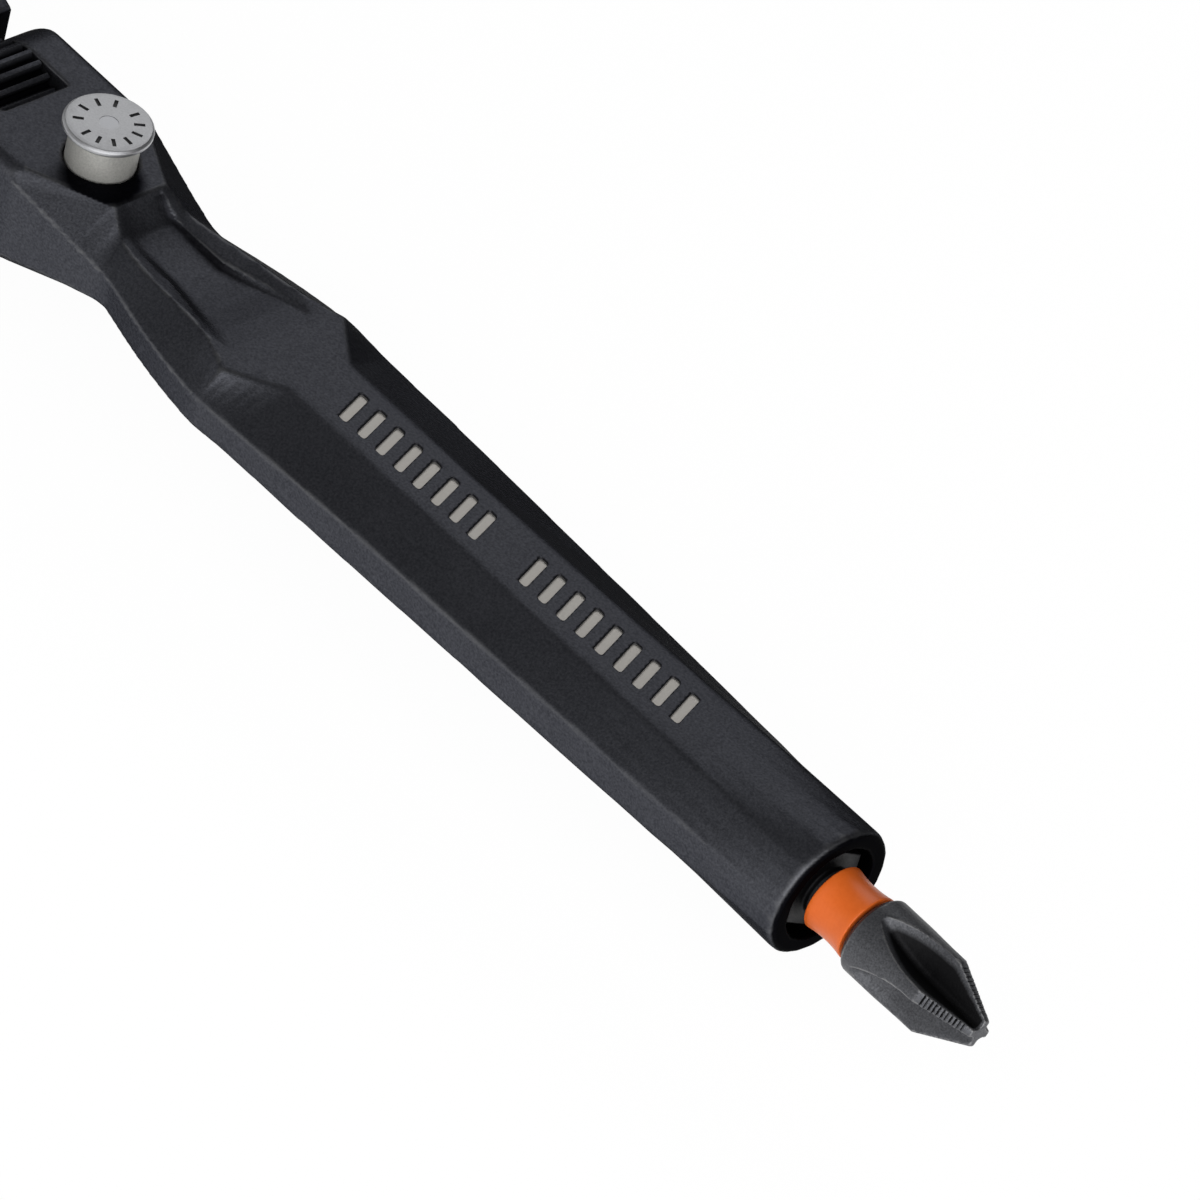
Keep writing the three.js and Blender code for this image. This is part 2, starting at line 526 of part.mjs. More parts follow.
function handle() {
  const far = BASE_X + BEYOND;
  const beforePivot = box(HEAD_REACH - BEYOND, HEAD_REACH, -BEYOND, BEYOND, -BEYOND, BEYOND);
  const earRound = barY(EAR_RADIUS, -BEYOND, BEYOND, HEAD_REACH, 0, 2 * ROUND);
  const earTrim = cut(solid(beforePivot), solid(earRound));
  const slot = join(
    solid(barY(SLOT_RADIUS, -SLOT_HALF, SLOT_HALF, HEAD_REACH, 0, 2 * ROUND)),
    solid(box(HEAD_REACH - BEYOND, HEAD_REACH, -SLOT_HALF, SLOT_HALF, -BEYOND, BEYOND)),
  );
  const wide = PLUNGER_HALF_WIDTH + RUN;
  const high = PLUNGER_HALF_HEIGHT + RUN;
  const plungerEnd = HEAD_REACH + PLUNGER_BACK + LOCK_TRAVEL + RUN;
  const channelEnd = Math.max(plungerEnd, BUTTON_X - STEM_BORE_RADIUS + LAP);
  const channel = box(HEAD_REACH, channelEnd, -wide, wide, -high, high);
  const springBore = barX(SHANK_BORE_RADIUS, BUTTON_X, HEAD_REACH + SPRING_END + RUN);
  const stemBore = barZ(STEM_BORE_RADIUS, STEM_BORE_FLOOR, BEYOND, BUTTON_X, 0, ROUND);
  const pinBore = barY(PIVOT_PIN_RADIUS + PIN_FIT, -BEYOND, BEYOND, HEAD_REACH);
  const socket = hexBarX(SOCKET_HEX, BASE_X - SOCKET_DEPTH, far);
  const mouth = barX(MOUTH_RADIUS, BASE_X - MOUTH_DEPTH, far, ROUND);
  const magnetFront = BASE_X - SOCKET_DEPTH;
  const magnetBack = magnetFront - MAGNET_THICKNESS - SEAT;
  const magnetPocket = barX(MAGNET_RADIUS + PIN_FIT, magnetBack, magnetFront + LAP, ROUND);
  const tools = [channel, springBore, stemBore, pinBore, socket, mouth, magnetPocket];
  return surface(cut(handleSkin(), earTrim, slot, ...tools.map(solid)));
}

function pivotPin() {
  const half = YOKE_HALF_WIDTH - SEAT;
  return closed(barY(PIVOT_PIN_RADIUS, -half, half, HEAD_REACH));
}

// Release button and lock

// The button's ramp and the plunger's ramp share one slope, so that pressing by the press travel draws the
// plunger back by the lock travel.
const RAMP = LOCK_TRAVEL / PRESS_TRAVEL;
const NOTCH_FLOOR = SHANK_UNDER_NOTCH - SHANK_HALF_HEIGHT;
const NOTCH_RIGHT = 0.2; // foot of the plunger's ramp, from the button's axis
const WEDGE_BOTTOM = NOTCH_FLOOR + PRESS_TRAVEL + RUN;
const WEDGE_LEFT = -0.1; // back of the button's wedge, from its axis
const NOTCH_LEFT = WEDGE_LEFT - LOCK_TRAVEL - SEAT;
const TUNNEL_TOP = SHANK_HALF_HEIGHT + PRESS_TRAVEL + RUN;

function rampX(z) {
  return NOTCH_RIGHT + RAMP * (z - NOTCH_FLOOR);
}

function releaseButton() {
  const top = YOKE_HALF_HEIGHT + BUTTON_HEIGHT;
  const round = BUTTON_FLANGE * 0.3;
  const turned = turnedZ([
    [STEM_BOTTOM, 0], [STEM_BOTTOM, BUTTON_STEM_RADIUS], [top - BUTTON_FLANGE, BUTTON_STEM_RADIUS],
    [top - BUTTON_FLANGE, BUTTON_FLANGE_RADIUS - round], [top - BUTTON_FLANGE + round, BUTTON_FLANGE_RADIUS],
    [top - round, BUTTON_FLANGE_RADIUS], [top, BUTTON_FLANGE_RADIUS - round], [top, 0],
  ]);
  const reach = BUTTON_STEM_RADIUS + LAP;
  const wedgeX = (z) => rampX(z) - RUN;
  const floor = -SHANK_HALF_HEIGHT - RUN;
  const tunnel = new THREE.Shape([
    [-reach, floor], [reach, floor], [reach, TUNNEL_TOP], [wedgeX(TUNNEL_TOP), TUNNEL_TOP],
    [wedgeX(WEDGE_BOTTOM), WEDGE_BOTTOM], [WEDGE_LEFT, WEDGE_BOTTOM], [WEDGE_LEFT, TUNNEL_TOP],
    [-reach, TUNNEL_TOP],
  ].map(([x, z]) => new THREE.Vector2(x, z)));
  const opening = sidePlate(tunnel, SHANK_HALF_WIDTH + RUN);
  return surface(cut(solid(turned), solid(opening)).translate([BUTTON_X, 0, 0]));
}

function lockPlunger() {
  const front = HEAD_REACH + TANG_RADIUS - 2 * LOCK_TOOTH_DEPTH;
  const back = HEAD_REACH + PLUNGER_BACK;
  const wide = PLUNGER_HALF_WIDTH;
  const block = box(front, back, -wide, wide, -PLUNGER_HALF_HEIGHT, PLUNGER_HALF_HEIGHT);
  const shank = new THREE.Shape([
    [back - LAP, -SHANK_HALF_HEIGHT], [HEAD_REACH + SHANK_END, -SHANK_HALF_HEIGHT],
    [HEAD_REACH + SHANK_END, SHANK_HALF_HEIGHT], [BUTTON_X + rampX(SHANK_HALF_HEIGHT), SHANK_HALF_HEIGHT],
    [BUTTON_X + NOTCH_RIGHT, NOTCH_FLOOR], [BUTTON_X + NOTCH_LEFT, NOTCH_FLOOR],
    [BUTTON_X + NOTCH_LEFT, SHANK_HALF_HEIGHT], [back - LAP, SHANK_HALF_HEIGHT],
  ].map(([x, z]) => new THREE.Vector2(x, z)));
  const teeth = lockTeeth(TOOTH_GAP, PLUNGER_HALF_WIDTH + LAP);
  return surface(cut(join(solid(block), solid(sidePlate(shank, SHANK_HALF_WIDTH))), solid(teeth)));
}

function lockSpring() {
  const length = LOCK_SPRING_LENGTH;
  const spring = coil('lock_spring', LOCK_SPRING_RADIUS, LOCK_SPRING_WIRE, LOCK_SPRING_TURNS, length);
  return closed(spring.rotateY(Math.PI / 2).translate(HEAD_REACH + SPRING_START, 0, 0));
}

// Head

function headOutline() {
  // The flaring side is a straight line, and angle is where it meets the head's circle.
  const halfAtAxis = SHOULDER_HALF + HEAD_FLARE * HEAD_REAR_X;
  const lean = Math.atan(HEAD_FLARE);
  const angle = Math.asin(Math.min(1, (halfAtAxis * Math.cos(lean)) / HEAD_RADIUS)) - lean;
  const shape = new THREE.Shape();
  shape.moveTo(HEAD_REAR_X, -SHOULDER_HALF);
  shape.lineTo(HEAD_REAR_X, SHOULDER_HALF);
  shape.absarc(0, 0, HEAD_RADIUS, angle, 2 * Math.PI - angle, false);
  return shape;
}

function coverOutline(growth) {
  const radius = COVER_RADIUS + growth;
  const half = COVER_NECK_HALF + growth;
  const angle = Math.asin(half / radius);
  const shape = new THREE.Shape();
  shape.moveTo(COVER_NECK_END + growth, -half);
  shape.lineTo(COVER_NECK_END + growth, half);
  shape.absarc(0, 0, radius, angle, 2 * Math.PI - angle, false);
  return shape;
}

const screwPlaces = SCREW_ANGLES.map((angle) => [
  SCREW_CIRCLE * Math.cos(radians(angle)), SCREW_CIRCLE * Math.sin(radians(angle))]);

function headBody() {
  const blank = new THREE.ExtrudeGeometry(headOutline(), {
    depth: 2 * (HEAD_HALF_HEIGHT - HEAD_EDGE), bevelThickness: HEAD_EDGE, bevelSize: HEAD_EDGE,
    bevelOffset: -HEAD_EDGE, bevelSegments: 2, curveSegments: 44,
  }).translate(0, 0, HEAD_EDGE - HEAD_HALF_HEIGHT);
  const web = box(HEAD_REAR_X - LAP, HEAD_REACH, -TANG_HALF, TANG_HALF, -TANG_WEB_HALF, TANG_WEB_HALF);
  const body = join(solid(blank), solid(web), solid(lockTeeth(0, TANG_HALF)));
  const below = -BEYOND;
  const above = BEYOND;
  const pawlRoomEnd = PAWL_BACK_X + PAWL_BACK_ROOM;
  const pawlRoomHalf = (GEAR_TIP_RADIUS + PAWL_END_THICKNESS) * Math.sin(radians(PAWL_SPREAD)) + PAWL_ROOM;
  const screwEnd = SCREW_LENGTH + SEAT - HEAD_HALF_HEIGHT;
  const tools = [
    barZ(GEAR_TIP_RADIUS + SIDE_GAP, below, CAVITY_TOP, 0, 0, 2 * ROUND),
    barZ(BOSS_RADIUS + RUN, below, above, 0, 0, ROUND),
    plate(coverOutline(RUN), below, COVER_TOP, 40),
    box(0, pawlRoomEnd, -pawlRoomHalf, pawlRoomHalf, below, CAVITY_TOP),
    barZ(CLIP_RADIUS + RUN, below, CAVITY_TOP, SELECTOR_X, 0, ROUND),
    barZ(SELECTOR_HUB_RADIUS + RUN, below, above, SELECTOR_X, 0, ROUND),
    barZ(PAWL_PIN_RADIUS + PIN_FIT, below, CAVITY_TOP + TOP_WALL / 2, PAWL_PIN_X),
    barY(PIVOT_PIN_RADIUS + RUN, -BEYOND, BEYOND, HEAD_REACH),
    ...screwPlaces.map(([x, y]) => barZ(SCREW_SHANK_RADIUS + RUN, below, screwEnd, x, y)),
  ];
  return surface(cut(body, ...tools.map(solid)));
}

function coverPlate() {
  const bottom = -HEAD_HALF_HEIGHT;
  const cones = screwPlaces.map(([x, y]) => turnedZ([
    [bottom - LAP, 0], [bottom - LAP, SCREW_HEAD_RADIUS + RUN], [bottom, SCREW_HEAD_RADIUS + RUN],
    [bottom + SCREW_HEAD_RADIUS - SCREW_SHANK_RADIUS, SCREW_SHANK_RADIUS + RUN],
    [COVER_TOP + LAP, SCREW_SHANK_RADIUS + RUN], [COVER_TOP + LAP, 0],
  ], SMALL_ROUND).translate(x, y, 0));
  const journalHole = barZ(JOURNAL_RADIUS + RUN, -BEYOND, BEYOND, 0, 0, ROUND);
  const plateSolid = solid(plate(coverOutline(0), bottom, COVER_TOP - PIN_FIT, 40));
  return surface(cut(plateSolid, solid(journalHole), ...cones.map(solid)));
}

function coverScrew([x, y]) {
  const bottom = -HEAD_HALF_HEIGHT;
  const taper = SCREW_HEAD_RADIUS - SCREW_SHANK_RADIUS;
  const turned = turnedZ([
    [bottom, 0], [bottom, SCREW_HEAD_RADIUS - PIN_FIT], [bottom + taper, SCREW_SHANK_RADIUS],
    [bottom + SCREW_LENGTH, SCREW_SHANK_RADIUS], [bottom + SCREW_LENGTH, 0],
  ], SMALL_ROUND);
  const key = plate(regularPolygon(6, SCREW_KEY_RADIUS, 0), bottom - LAP, bottom + taper);
  return surface(cut(solid(turned), solid(key)).translate([x, y, 0]));
}

// Gear, square drive and ball

const BALL_Z = BALL_FROM_TIP - DRIVE_REACH;
const BALL_Y = -(SQUARE_DRIVE / 2 + BALL_PROUD - BALL_RADIUS);
const BALL_BORE_END = BALL_RADIUS;

function squareLoop(half, z) {
  const flat = half - SQUARE_EDGE;
  const corners = [[half, -flat], [half, flat], [flat, half], [-flat, half]];
  return [...corners, ...corners.map(([x, y]) => [-x, -y])].map(([x, y]) => new THREE.Vector3(x, y, z));
}

function driveGear() {
  const half = SQUARE_DRIVE / 2;
  const square = loft([
    squareLoop(half - SQUARE_EDGE / 2, -DRIVE_REACH),
    squareLoop(half, SQUARE_EDGE - DRIVE_REACH),
    squareLoop(half, GEAR_BOTTOM),
  ]);
  const journal = barZ(JOURNAL_RADIUS, -HEAD_HALF_HEIGHT, GEAR_BOTTOM + LAP, 0, 0, ROUND);
  const boss = barZ(BOSS_RADIUS, GEAR_TOP - LAP, HEAD_HALF_HEIGHT, 0, 0, ROUND);
  const teeth = ratchetTeeth(0, GEAR_BOTTOM, GEAR_TOP);
  const whole = join(...[teeth, journal, boss, square].map(solid));
  return surface(cut(whole, solid(barY(BALL_RADIUS + RUN, -SQUARE_DRIVE, BALL_BORE_END, 0, BALL_Z))));
}

function detentBall() {
  return closed(new THREE.SphereGeometry(BALL_RADIUS, 20, 12).translate(0, BALL_Y, BALL_Z));
}

function detentSpring() {
  const start = BALL_Y + BALL_RADIUS + PIN_FIT;
  const length = BALL_BORE_END - PIN_FIT - start;
  const radius = BALL_RADIUS - DETENT_WIRE - RUN;
  const spring = coil('detent_spring', radius, DETENT_WIRE, DETENT_TURNS, length);
  return closed(spring.rotateX(-Math.PI / 2).translate(0, start, BALL_Z));
}

// Pawl and selector, drawn about their own axes in the middle position

function aboutPawlPin(geometry, degrees) {
  return geometry.translate(-PAWL_PIN_X, 0, 0).rotateZ(radians(degrees));
}

function pawl() {
  const spread = radians(PAWL_SPREAD);
  const inner = GEAR_TIP_RADIUS - 2 * GEAR_TOOTH_DEPTH;
  const outer = GEAR_TIP_RADIUS + PAWL_END_THICKNESS;
  const back = PAWL_BACK_X;
  const backHalf = (outer * Math.sin(spread)) / 2;
  const shape = new THREE.Shape();
  shape.moveTo(inner * Math.cos(spread), -inner * Math.sin(spread));
  shape.lineTo(outer * Math.cos(spread), -outer * Math.sin(spread));
  shape.lineTo(back, -backHalf);
  shape.lineTo(back, backHalf);
  shape.lineTo(outer * Math.cos(spread), outer * Math.sin(spread));
  shape.lineTo(inner * Math.cos(spread), inner * Math.sin(spread));
  const blank = aboutPawlPin(plate(shape, GEAR_BOTTOM + PIN_FIT, CLIP_BOTTOM - RUN), 0);
  const gears = [-PAWL_ROCK / 2, PAWL_ROCK / 2].map((turn) =>
    aboutPawlPin(ratchetTeeth(TOOTH_GAP, GEAR_BOTTOM - LAP, GEAR_TOP + LAP), turn));
  const hole = barZ(PAWL_PIN_RADIUS + RUN, -BEYOND, BEYOND);
  const groove = barZ(PUSHER_REACH + RUN, -BEYOND, BEYOND, SELECTOR_X - PAWL_PIN_X, 0, 2 * ROUND);
  return surface(cut(solid(blank), ...gears.map(solid), solid(hole), solid(groove)));
}

function pawlPin() {
  return closed(barZ(PAWL_PIN_RADIUS, COVER_TOP + PIN_FIT, CAVITY_TOP + TOP_WALL / 2 - PIN_FIT, PAWL_PIN_X));
}

const HUB_BOTTOM = COVER_TOP + SEAT;
const PUSHER_BORE_END = SELECTOR_HUB_RADIUS - HUB_WALL;
const CLIP_GROOVE_RADIUS = SELECTOR_HUB_RADIUS - CLIP_BITE;

function selectorLever() {
  const under = HEAD_HALF_HEIGHT + SEAT;
  const over = under + LEVER_THICKNESS;
  const hub = barZ(SELECTOR_HUB_RADIUS, HUB_BOTTOM, under + LAP, 0, 0, ROUND);
  const thumb = new THREE.Shape();
  const lean = Math.acos((LEVER_RADIUS - LEVER_TIP_RADIUS) / LEVER_LENGTH);
  const tipX = LEVER_TIP_RADIUS - LEVER_LENGTH;
  thumb.absarc(0, 0, LEVER_RADIUS, lean - Math.PI, Math.PI - lean, false);
  thumb.absarc(tipX, 0, LEVER_TIP_RADIUS, Math.PI - lean, Math.PI + lean, false);
  const tab = plate(thumb, under, over, 20);
  const clipGroove = cut(
    solid(barZ(SELECTOR_HUB_RADIUS + LAP, CLIP_BOTTOM - RUN, CLIP_TOP + RUN, 0, 0, ROUND)),
    solid(barZ(CLIP_GROOVE_RADIUS, CLIP_BOTTOM - LAP, CLIP_TOP + LAP, 0, 0, ROUND)),
  );
  const pusherBore = barX(PUSHER_RADIUS + PIN_FIT, -SELECTOR_HUB_RADIUS - LAP, PUSHER_BORE_END);
  return surface(cut(join(solid(hub), solid(tab)), clipGroove, solid(pusherBore)));
}

function selectorClip() {
  const gap = radians(CLIP_MOUTH) / 2;
  const ring = new THREE.Shape();
  ring.absarc(0, 0, CLIP_RADIUS, gap, 2 * Math.PI - gap, false);
  ring.absarc(0, 0, CLIP_GROOVE_RADIUS + PIN_FIT, 2 * Math.PI - gap, gap, true);
  return closed(plate(ring, CLIP_BOTTOM, CLIP_TOP, 24));
}

function pawlPusher() {
  const tip = -PUSHER_REACH;
  const end = tip + PUSHER_LENGTH;
  const nose = 0.6 * PUSHER_RADIUS;
  const rounded = [[tip, 0], [tip, PUSHER_RADIUS - nose], [tip + nose, PUSHER_RADIUS]];
  return closed(turnedX([...rounded, [end, PUSHER_RADIUS], [end, 0]], SMALL_ROUND));
}

function pusherSpring() {
  const start = PUSHER_LENGTH - PUSHER_REACH + PIN_FIT;
  const length = PUSHER_BORE_END - PIN_FIT - start;
  const spring = coil('pusher_spring', PUSHER_RADIUS - PUSHER_WIRE, PUSHER_WIRE, PUSHER_TURNS, length);
  return closed(spring.rotateY(Math.PI / 2).translate(start, 0, 0));
}

// Stored bit

// One section of the cutter for a flute: a square-cornered notch that opens upwards from a narrow floor.
function fluteLoop(x, floor) {
  const open = 2 * BIT_HEX;
  const half = FLUTE_FLOOR_HALF;
  return [[-half, floor], [half, floor], [half + open, floor + open], [-half - open, floor + open]]
    .map(([y, z]) => new THREE.Vector3(x, y, z));
}

function driverBit() {
  const body = BIT_HEX / 2;
  const core = BIT_CORE_RADIUS;
  const shankEnd = BIT_PROUD - BIT_LENGTH;
  const hexEnd = -HEX_RECESS;
  const turned = turnedX([
    [hexEnd - LAP, 0], [hexEnd - LAP, core], [BIT_BODY_START - BIT_COLLAR, core],
    [BIT_BODY_START - BIT_COLLAR, body - BIT_COLLAR], [BIT_BODY_START, body],
    [BIT_TAPER_START, body], [BIT_PROUD, BIT_TIP_RADIUS], [BIT_PROUD, 0],
  ]);
  const shank = hexBarX(BIT_HEX, shankEnd, hexEnd);
  const scoop = Array.from({ length: FLUTE_STEPS + 1 }, (_, i) => {
    const left = 1 - i / FLUTE_STEPS;
    const floor = between(FLUTE_KNEE_RADIUS, body + SEAT, left ** 2);
    return fluteLoop(between(FLUTE_KNEE, FLUTE_START, left), floor);
  });
  const flute = [...scoop, fluteLoop(BIT_PROUD + LAP, FLUTE_TIP_RADIUS)];
  const flutes = [0, 90, 180, 270].map((turn) => loft(flute).rotateX(radians(turn + FLUTE_TURN)));
  const whole = join(solid(turned), solid(shank));
  return surface(cut(whole, ...flutes.map(solid)).translate([BASE_X, 0, 0]));
}

function bitBand() {
  const hole = BIT_CORE_RADIUS + PIN_FIT;
  const swell = (t) => BAND_WAIST_RADIUS + (BAND_END_RADIUS - BAND_WAIST_RADIUS) * (2 * t - 1) ** 2;
  const outside = Array.from({ length: 9 }, (_, i) => [BAND_START + (i / 8) * BAND_LENGTH, swell(i / 8)]);
  const ring = [[BAND_START, hole], ...outside, [BAND_START + BAND_LENGTH, hole], [BAND_START, hole]];
  return closed(turnedX(ring).translate(BASE_X, 0, 0));
}

function bitMagnet() {
  const front = BASE_X - SOCKET_DEPTH;
  return closed(barX(MAGNET_RADIUS, front - MAGNET_THICKNESS, front, ROUND));
}

// Assembly

const coated = { color: 0x2e2f33, roughness: 0.55, metalness: 0.5 };
const polished = { color: 0xc9c9c6, roughness: 0.28, metalness: 1.0 };
const blued = { color: 0x4a4b4e, roughness: 0.4, metalness: 0.9 };
const phosphate = { color: 0x3a3a3b, roughness: 0.6, metalness: 0.6 };
const springSteel = { color: 0x9a9b9d, roughness: 0.35, metalness: 1.0 };
const orangeBand = { color: 0xf57016, roughness: 0.45, metalness: 0.0 };

function piece(name, geometry, finish) {
  geometry.computeVertexNormals();
  const mesh = new THREE.Mesh(geometry, new THREE.MeshStandardMaterial(finish));
  mesh.name = name;
  return mesh;
}

const tool = new THREE.Group();
tool.position.z = DRIVE_REACH;
tool.add(
  piece('handle', handle(), coated),
  piece('pivot_pin', pivotPin(), polished),
  piece('release_button', releaseButton(), polished),
  piece('lock_plunger', lockPlunger(), blued),
  piece('lock_spring', lockSpring(), springSteel),
  piece('bit_magnet', bitMagnet(), polished),
  piece('driver_bit', driverBit(), phosphate),
  piece('bit_band', bitBand(), orangeBand),
  piece('head_body', headBody(), coated),
  piece('cover_plate', coverPlate(), coated),
  piece('drive_gear', driveGear(), polished),
  piece('detent_ball', detentBall(), polished),
  piece('detent_spring', detentSpring(), springSteel),
  piece('pawl_pin', pawlPin(), polished),
);
screwPlaces.forEach((place, i) => tool.add(piece(`cover_screw_${i + 1}`, coverScrew(place), blued)));

// The pawl rests with its +Y teeth in the gear, and the selector with its pusher on that side.
const pawlGroup = new THREE.Group();
pawlGroup.position.x = PAWL_PIN_X;
pawlGroup.rotation.z = radians(PAWL_ROCK / 2);
pawlGroup.add(piece('pawl', pawl(), blued));

const selectorGroup = new THREE.Group();
selectorGroup.position.x = SELECTOR_X;
selectorGroup.rotation.z = radians(-SELECTOR_SWING / 2);
selectorGroup.add(
  piece('selector_lever', selectorLever(), coated),
  piece('selector_clip', selectorClip(), springSteel),
  piece('pawl_pusher', pawlPusher(), polished),
  piece('pusher_spring', pusherSpring(), springSteel),
);
tool.add(pawlGroup, selectorGroup);

const ratchet = new THREE.Group();
ratchet.add(tool);
export default ratchet;
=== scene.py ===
# %% [markdown]
# Mini ratchet with a locking flex head
#
# The real tool is a forged handle with a yoke, a toothed tang that flexes in it, a bright button that
# frees the tang, and a driver bit kept in the base. The solids could be modelled again from nothing, but
# they are already exact, so this lesson loads them as a fixed frame and then softens, details and paints
# them where the eye would notice.

# %% Load the frame
import math

import bmesh
import bpy
import numpy as np
from mathutils import Matrix, Vector


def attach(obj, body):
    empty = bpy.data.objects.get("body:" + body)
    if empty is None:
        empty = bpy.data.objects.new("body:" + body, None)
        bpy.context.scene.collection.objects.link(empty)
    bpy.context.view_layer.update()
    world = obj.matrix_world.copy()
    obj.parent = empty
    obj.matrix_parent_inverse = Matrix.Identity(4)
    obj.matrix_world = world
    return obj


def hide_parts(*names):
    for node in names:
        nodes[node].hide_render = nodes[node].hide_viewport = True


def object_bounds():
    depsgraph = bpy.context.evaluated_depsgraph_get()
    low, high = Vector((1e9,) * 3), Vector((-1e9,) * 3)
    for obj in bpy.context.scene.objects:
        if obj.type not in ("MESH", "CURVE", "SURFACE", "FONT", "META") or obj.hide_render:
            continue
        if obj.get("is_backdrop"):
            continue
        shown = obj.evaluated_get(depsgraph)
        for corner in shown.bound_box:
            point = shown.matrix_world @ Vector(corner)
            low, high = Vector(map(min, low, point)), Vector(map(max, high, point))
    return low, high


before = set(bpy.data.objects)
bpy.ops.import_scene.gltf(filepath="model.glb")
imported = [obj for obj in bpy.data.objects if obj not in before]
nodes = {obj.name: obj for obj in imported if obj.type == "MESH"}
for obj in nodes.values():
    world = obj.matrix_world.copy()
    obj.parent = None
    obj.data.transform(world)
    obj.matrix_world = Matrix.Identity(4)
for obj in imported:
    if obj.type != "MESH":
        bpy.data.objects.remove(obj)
cad_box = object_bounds()
MM = 0.001
print("nodes:", len(nodes), "box in mm:", [round(v / MM, 2) for v in cad_box[1] - cad_box[0]])

# %% [markdown]
# The camera
#
# The picture is taken with a long lens from behind the handle, well above it and a little to its side.
# A camera can be aimed by a constraint, but the exact view is easier to repeat when its three axes are
# written down: which way is right, which way is down and which way it looks.

# %% Camera
CAMERA_PLACE = Vector((379.9, -383.6, 437.6)) * MM
PICTURE_RIGHT = Vector((0.6517, 0.7285, 0.2114))
PICTURE_DOWN = Vector((0.6046, -0.3305, -0.7247))
VIEW_AHEAD = Vector((-0.4581, 0.6001, -0.6558))
SENSOR = 36.0
LENS = 270.4
NEAREST = 0.01
FARTHEST = 20.0

camera_data = bpy.data.cameras.new("picture_camera")
camera_data.sensor_width = SENSOR
camera_data.lens = LENS
camera_data.clip_start = NEAREST
camera_data.clip_end = FARTHEST
camera = bpy.data.objects.new("picture_camera", camera_data)
turn = Matrix((PICTURE_RIGHT, -PICTURE_DOWN, -VIEW_AHEAD)).transposed()
camera.matrix_world = Matrix.Translation(CAMERA_PLACE) @ turn.to_quaternion().to_matrix().to_4x4()
bpy.context.scene.collection.objects.link(camera)
bpy.context.scene.camera = camera
print("camera at", [round(v / MM) for v in camera.location], "mm, lens", LENS)

# %% [markdown]
# Floor, world and lamps
#
# A product picture stands on white. Paper lit until it is white would need lamps that burn out the pale
# button, so most of the floor glows by itself for the eye and for reflections, a little above white round
# the tool and less far out, and the rest is ordinary paper that keeps the tool's shadow. The room is bright
# at the horizon and dim overhead and on the far side, so that each facet of the black coat reflects its
# own grey. Two square area lamps stand in for softboxes.

# %% Shader helpers


def add_node(tree, kind, place=(0, 0), **settings):
    node = tree.nodes.new(kind)
    node.location = place
    for key, value in settings.items():
        setattr(node, key, value)
    return node


def math_node(tree, operation, first, second, place=(0, 0), clamp=False):
    node = add_node(tree, "ShaderNodeMath", place, operation=operation, use_clamp=clamp)
    for socket, value in zip(node.inputs, (first, second)):
        if isinstance(value, (int, float)):
            socket.default_value = value
        else:
            tree.links.new(value, socket)
    return node.outputs[0]


def smooth_range(tree, value, reach, levels, place):
    """Goes smoothly from the first level to the second while the value crosses its reach."""
    node = add_node(tree, "ShaderNodeMapRange", place, interpolation_type="SMOOTHSTEP")
    sockets = ("From Min", "From Max", "To Min", "To Max")
    for socket, number in zip(sockets, (*reach, *levels)):
        node.inputs[socket].default_value = number
    tree.links.new(value, node.inputs["Value"])
    return node.outputs[0]


def link_mesh(name, bm):
    mesh = bpy.data.meshes.new(name)
    bm.to_mesh(mesh)
    bm.free()
    piece = bpy.data.objects.new(name, mesh)
    bpy.context.scene.collection.objects.link(piece)
    return piece


# %% Floor
FLOOR_HALF = 3.0
FLOOR_GAP = 0.00005
PAPER = (0.88, 0.88, 0.88, 1.0)
WHITE = (1.0, 1.0, 1.0, 1.0)
SHADOW_SHARE = 0.1
GLOW_REACH = (0.13, 0.4)
GLOW_LEVELS = (1.06, 0.25)
MIDDLE = (cad_box[0] + cad_box[1]) / 2


def seen_rays(tree):
    """One for rays that the eye, a reflection or glass sees, and zero for rays that only carry light."""
    path = add_node(tree, "ShaderNodeLightPath", (-900, 300))
    straight = path.outputs["Is Camera Ray"]
    seen = math_node(tree, "MAXIMUM", straight, path.outputs["Is Glossy Ray"], (-700, 300))
    return math_node(tree, "MAXIMUM", seen, path.outputs["Is Transmission Ray"], (-520, 300))


def paper_material():
    paper = bpy.data.materials.new("studio_paper")
    paper.use_nodes = True
    tree = paper.node_tree
    tree.nodes.clear()
    sheet = add_node(tree, "ShaderNodeBsdfDiffuse", (-300, 0))
    sheet.inputs["Color"].default_value = PAPER
    glow = add_node(tree, "ShaderNodeEmission", (-300, -150))
    glow.inputs["Color"].default_value = WHITE
    spot = add_node(tree, "ShaderNodeTexCoord", (-900, -150))
    reach = add_node(tree, "ShaderNodeVectorMath", (-700, -150), operation="DISTANCE")
    reach.inputs[1].default_value = (MIDDLE.x, MIDDLE.y, 0)
    tree.links.new(spot.outputs["Object"], reach.inputs[0])
    level = smooth_range(tree, reach.outputs["Value"], GLOW_REACH, GLOW_LEVELS, (-520, -150))
    tree.links.new(level, glow.inputs["Strength"])
    share = math_node(tree, "MULTIPLY", seen_rays(tree), 1.0 - SHADOW_SHARE, (-340, 300))
    mix = add_node(tree, "ShaderNodeMixShader", (0, 0))
    out = add_node(tree, "ShaderNodeOutputMaterial", (200, 0))
    tree.links.new(share, mix.inputs[0])
    tree.links.new(sheet.outputs[0], mix.inputs[1])
    tree.links.new(glow.outputs[0], mix.inputs[2])
    tree.links.new(mix.outputs[0], out.inputs["Surface"])
    return paper


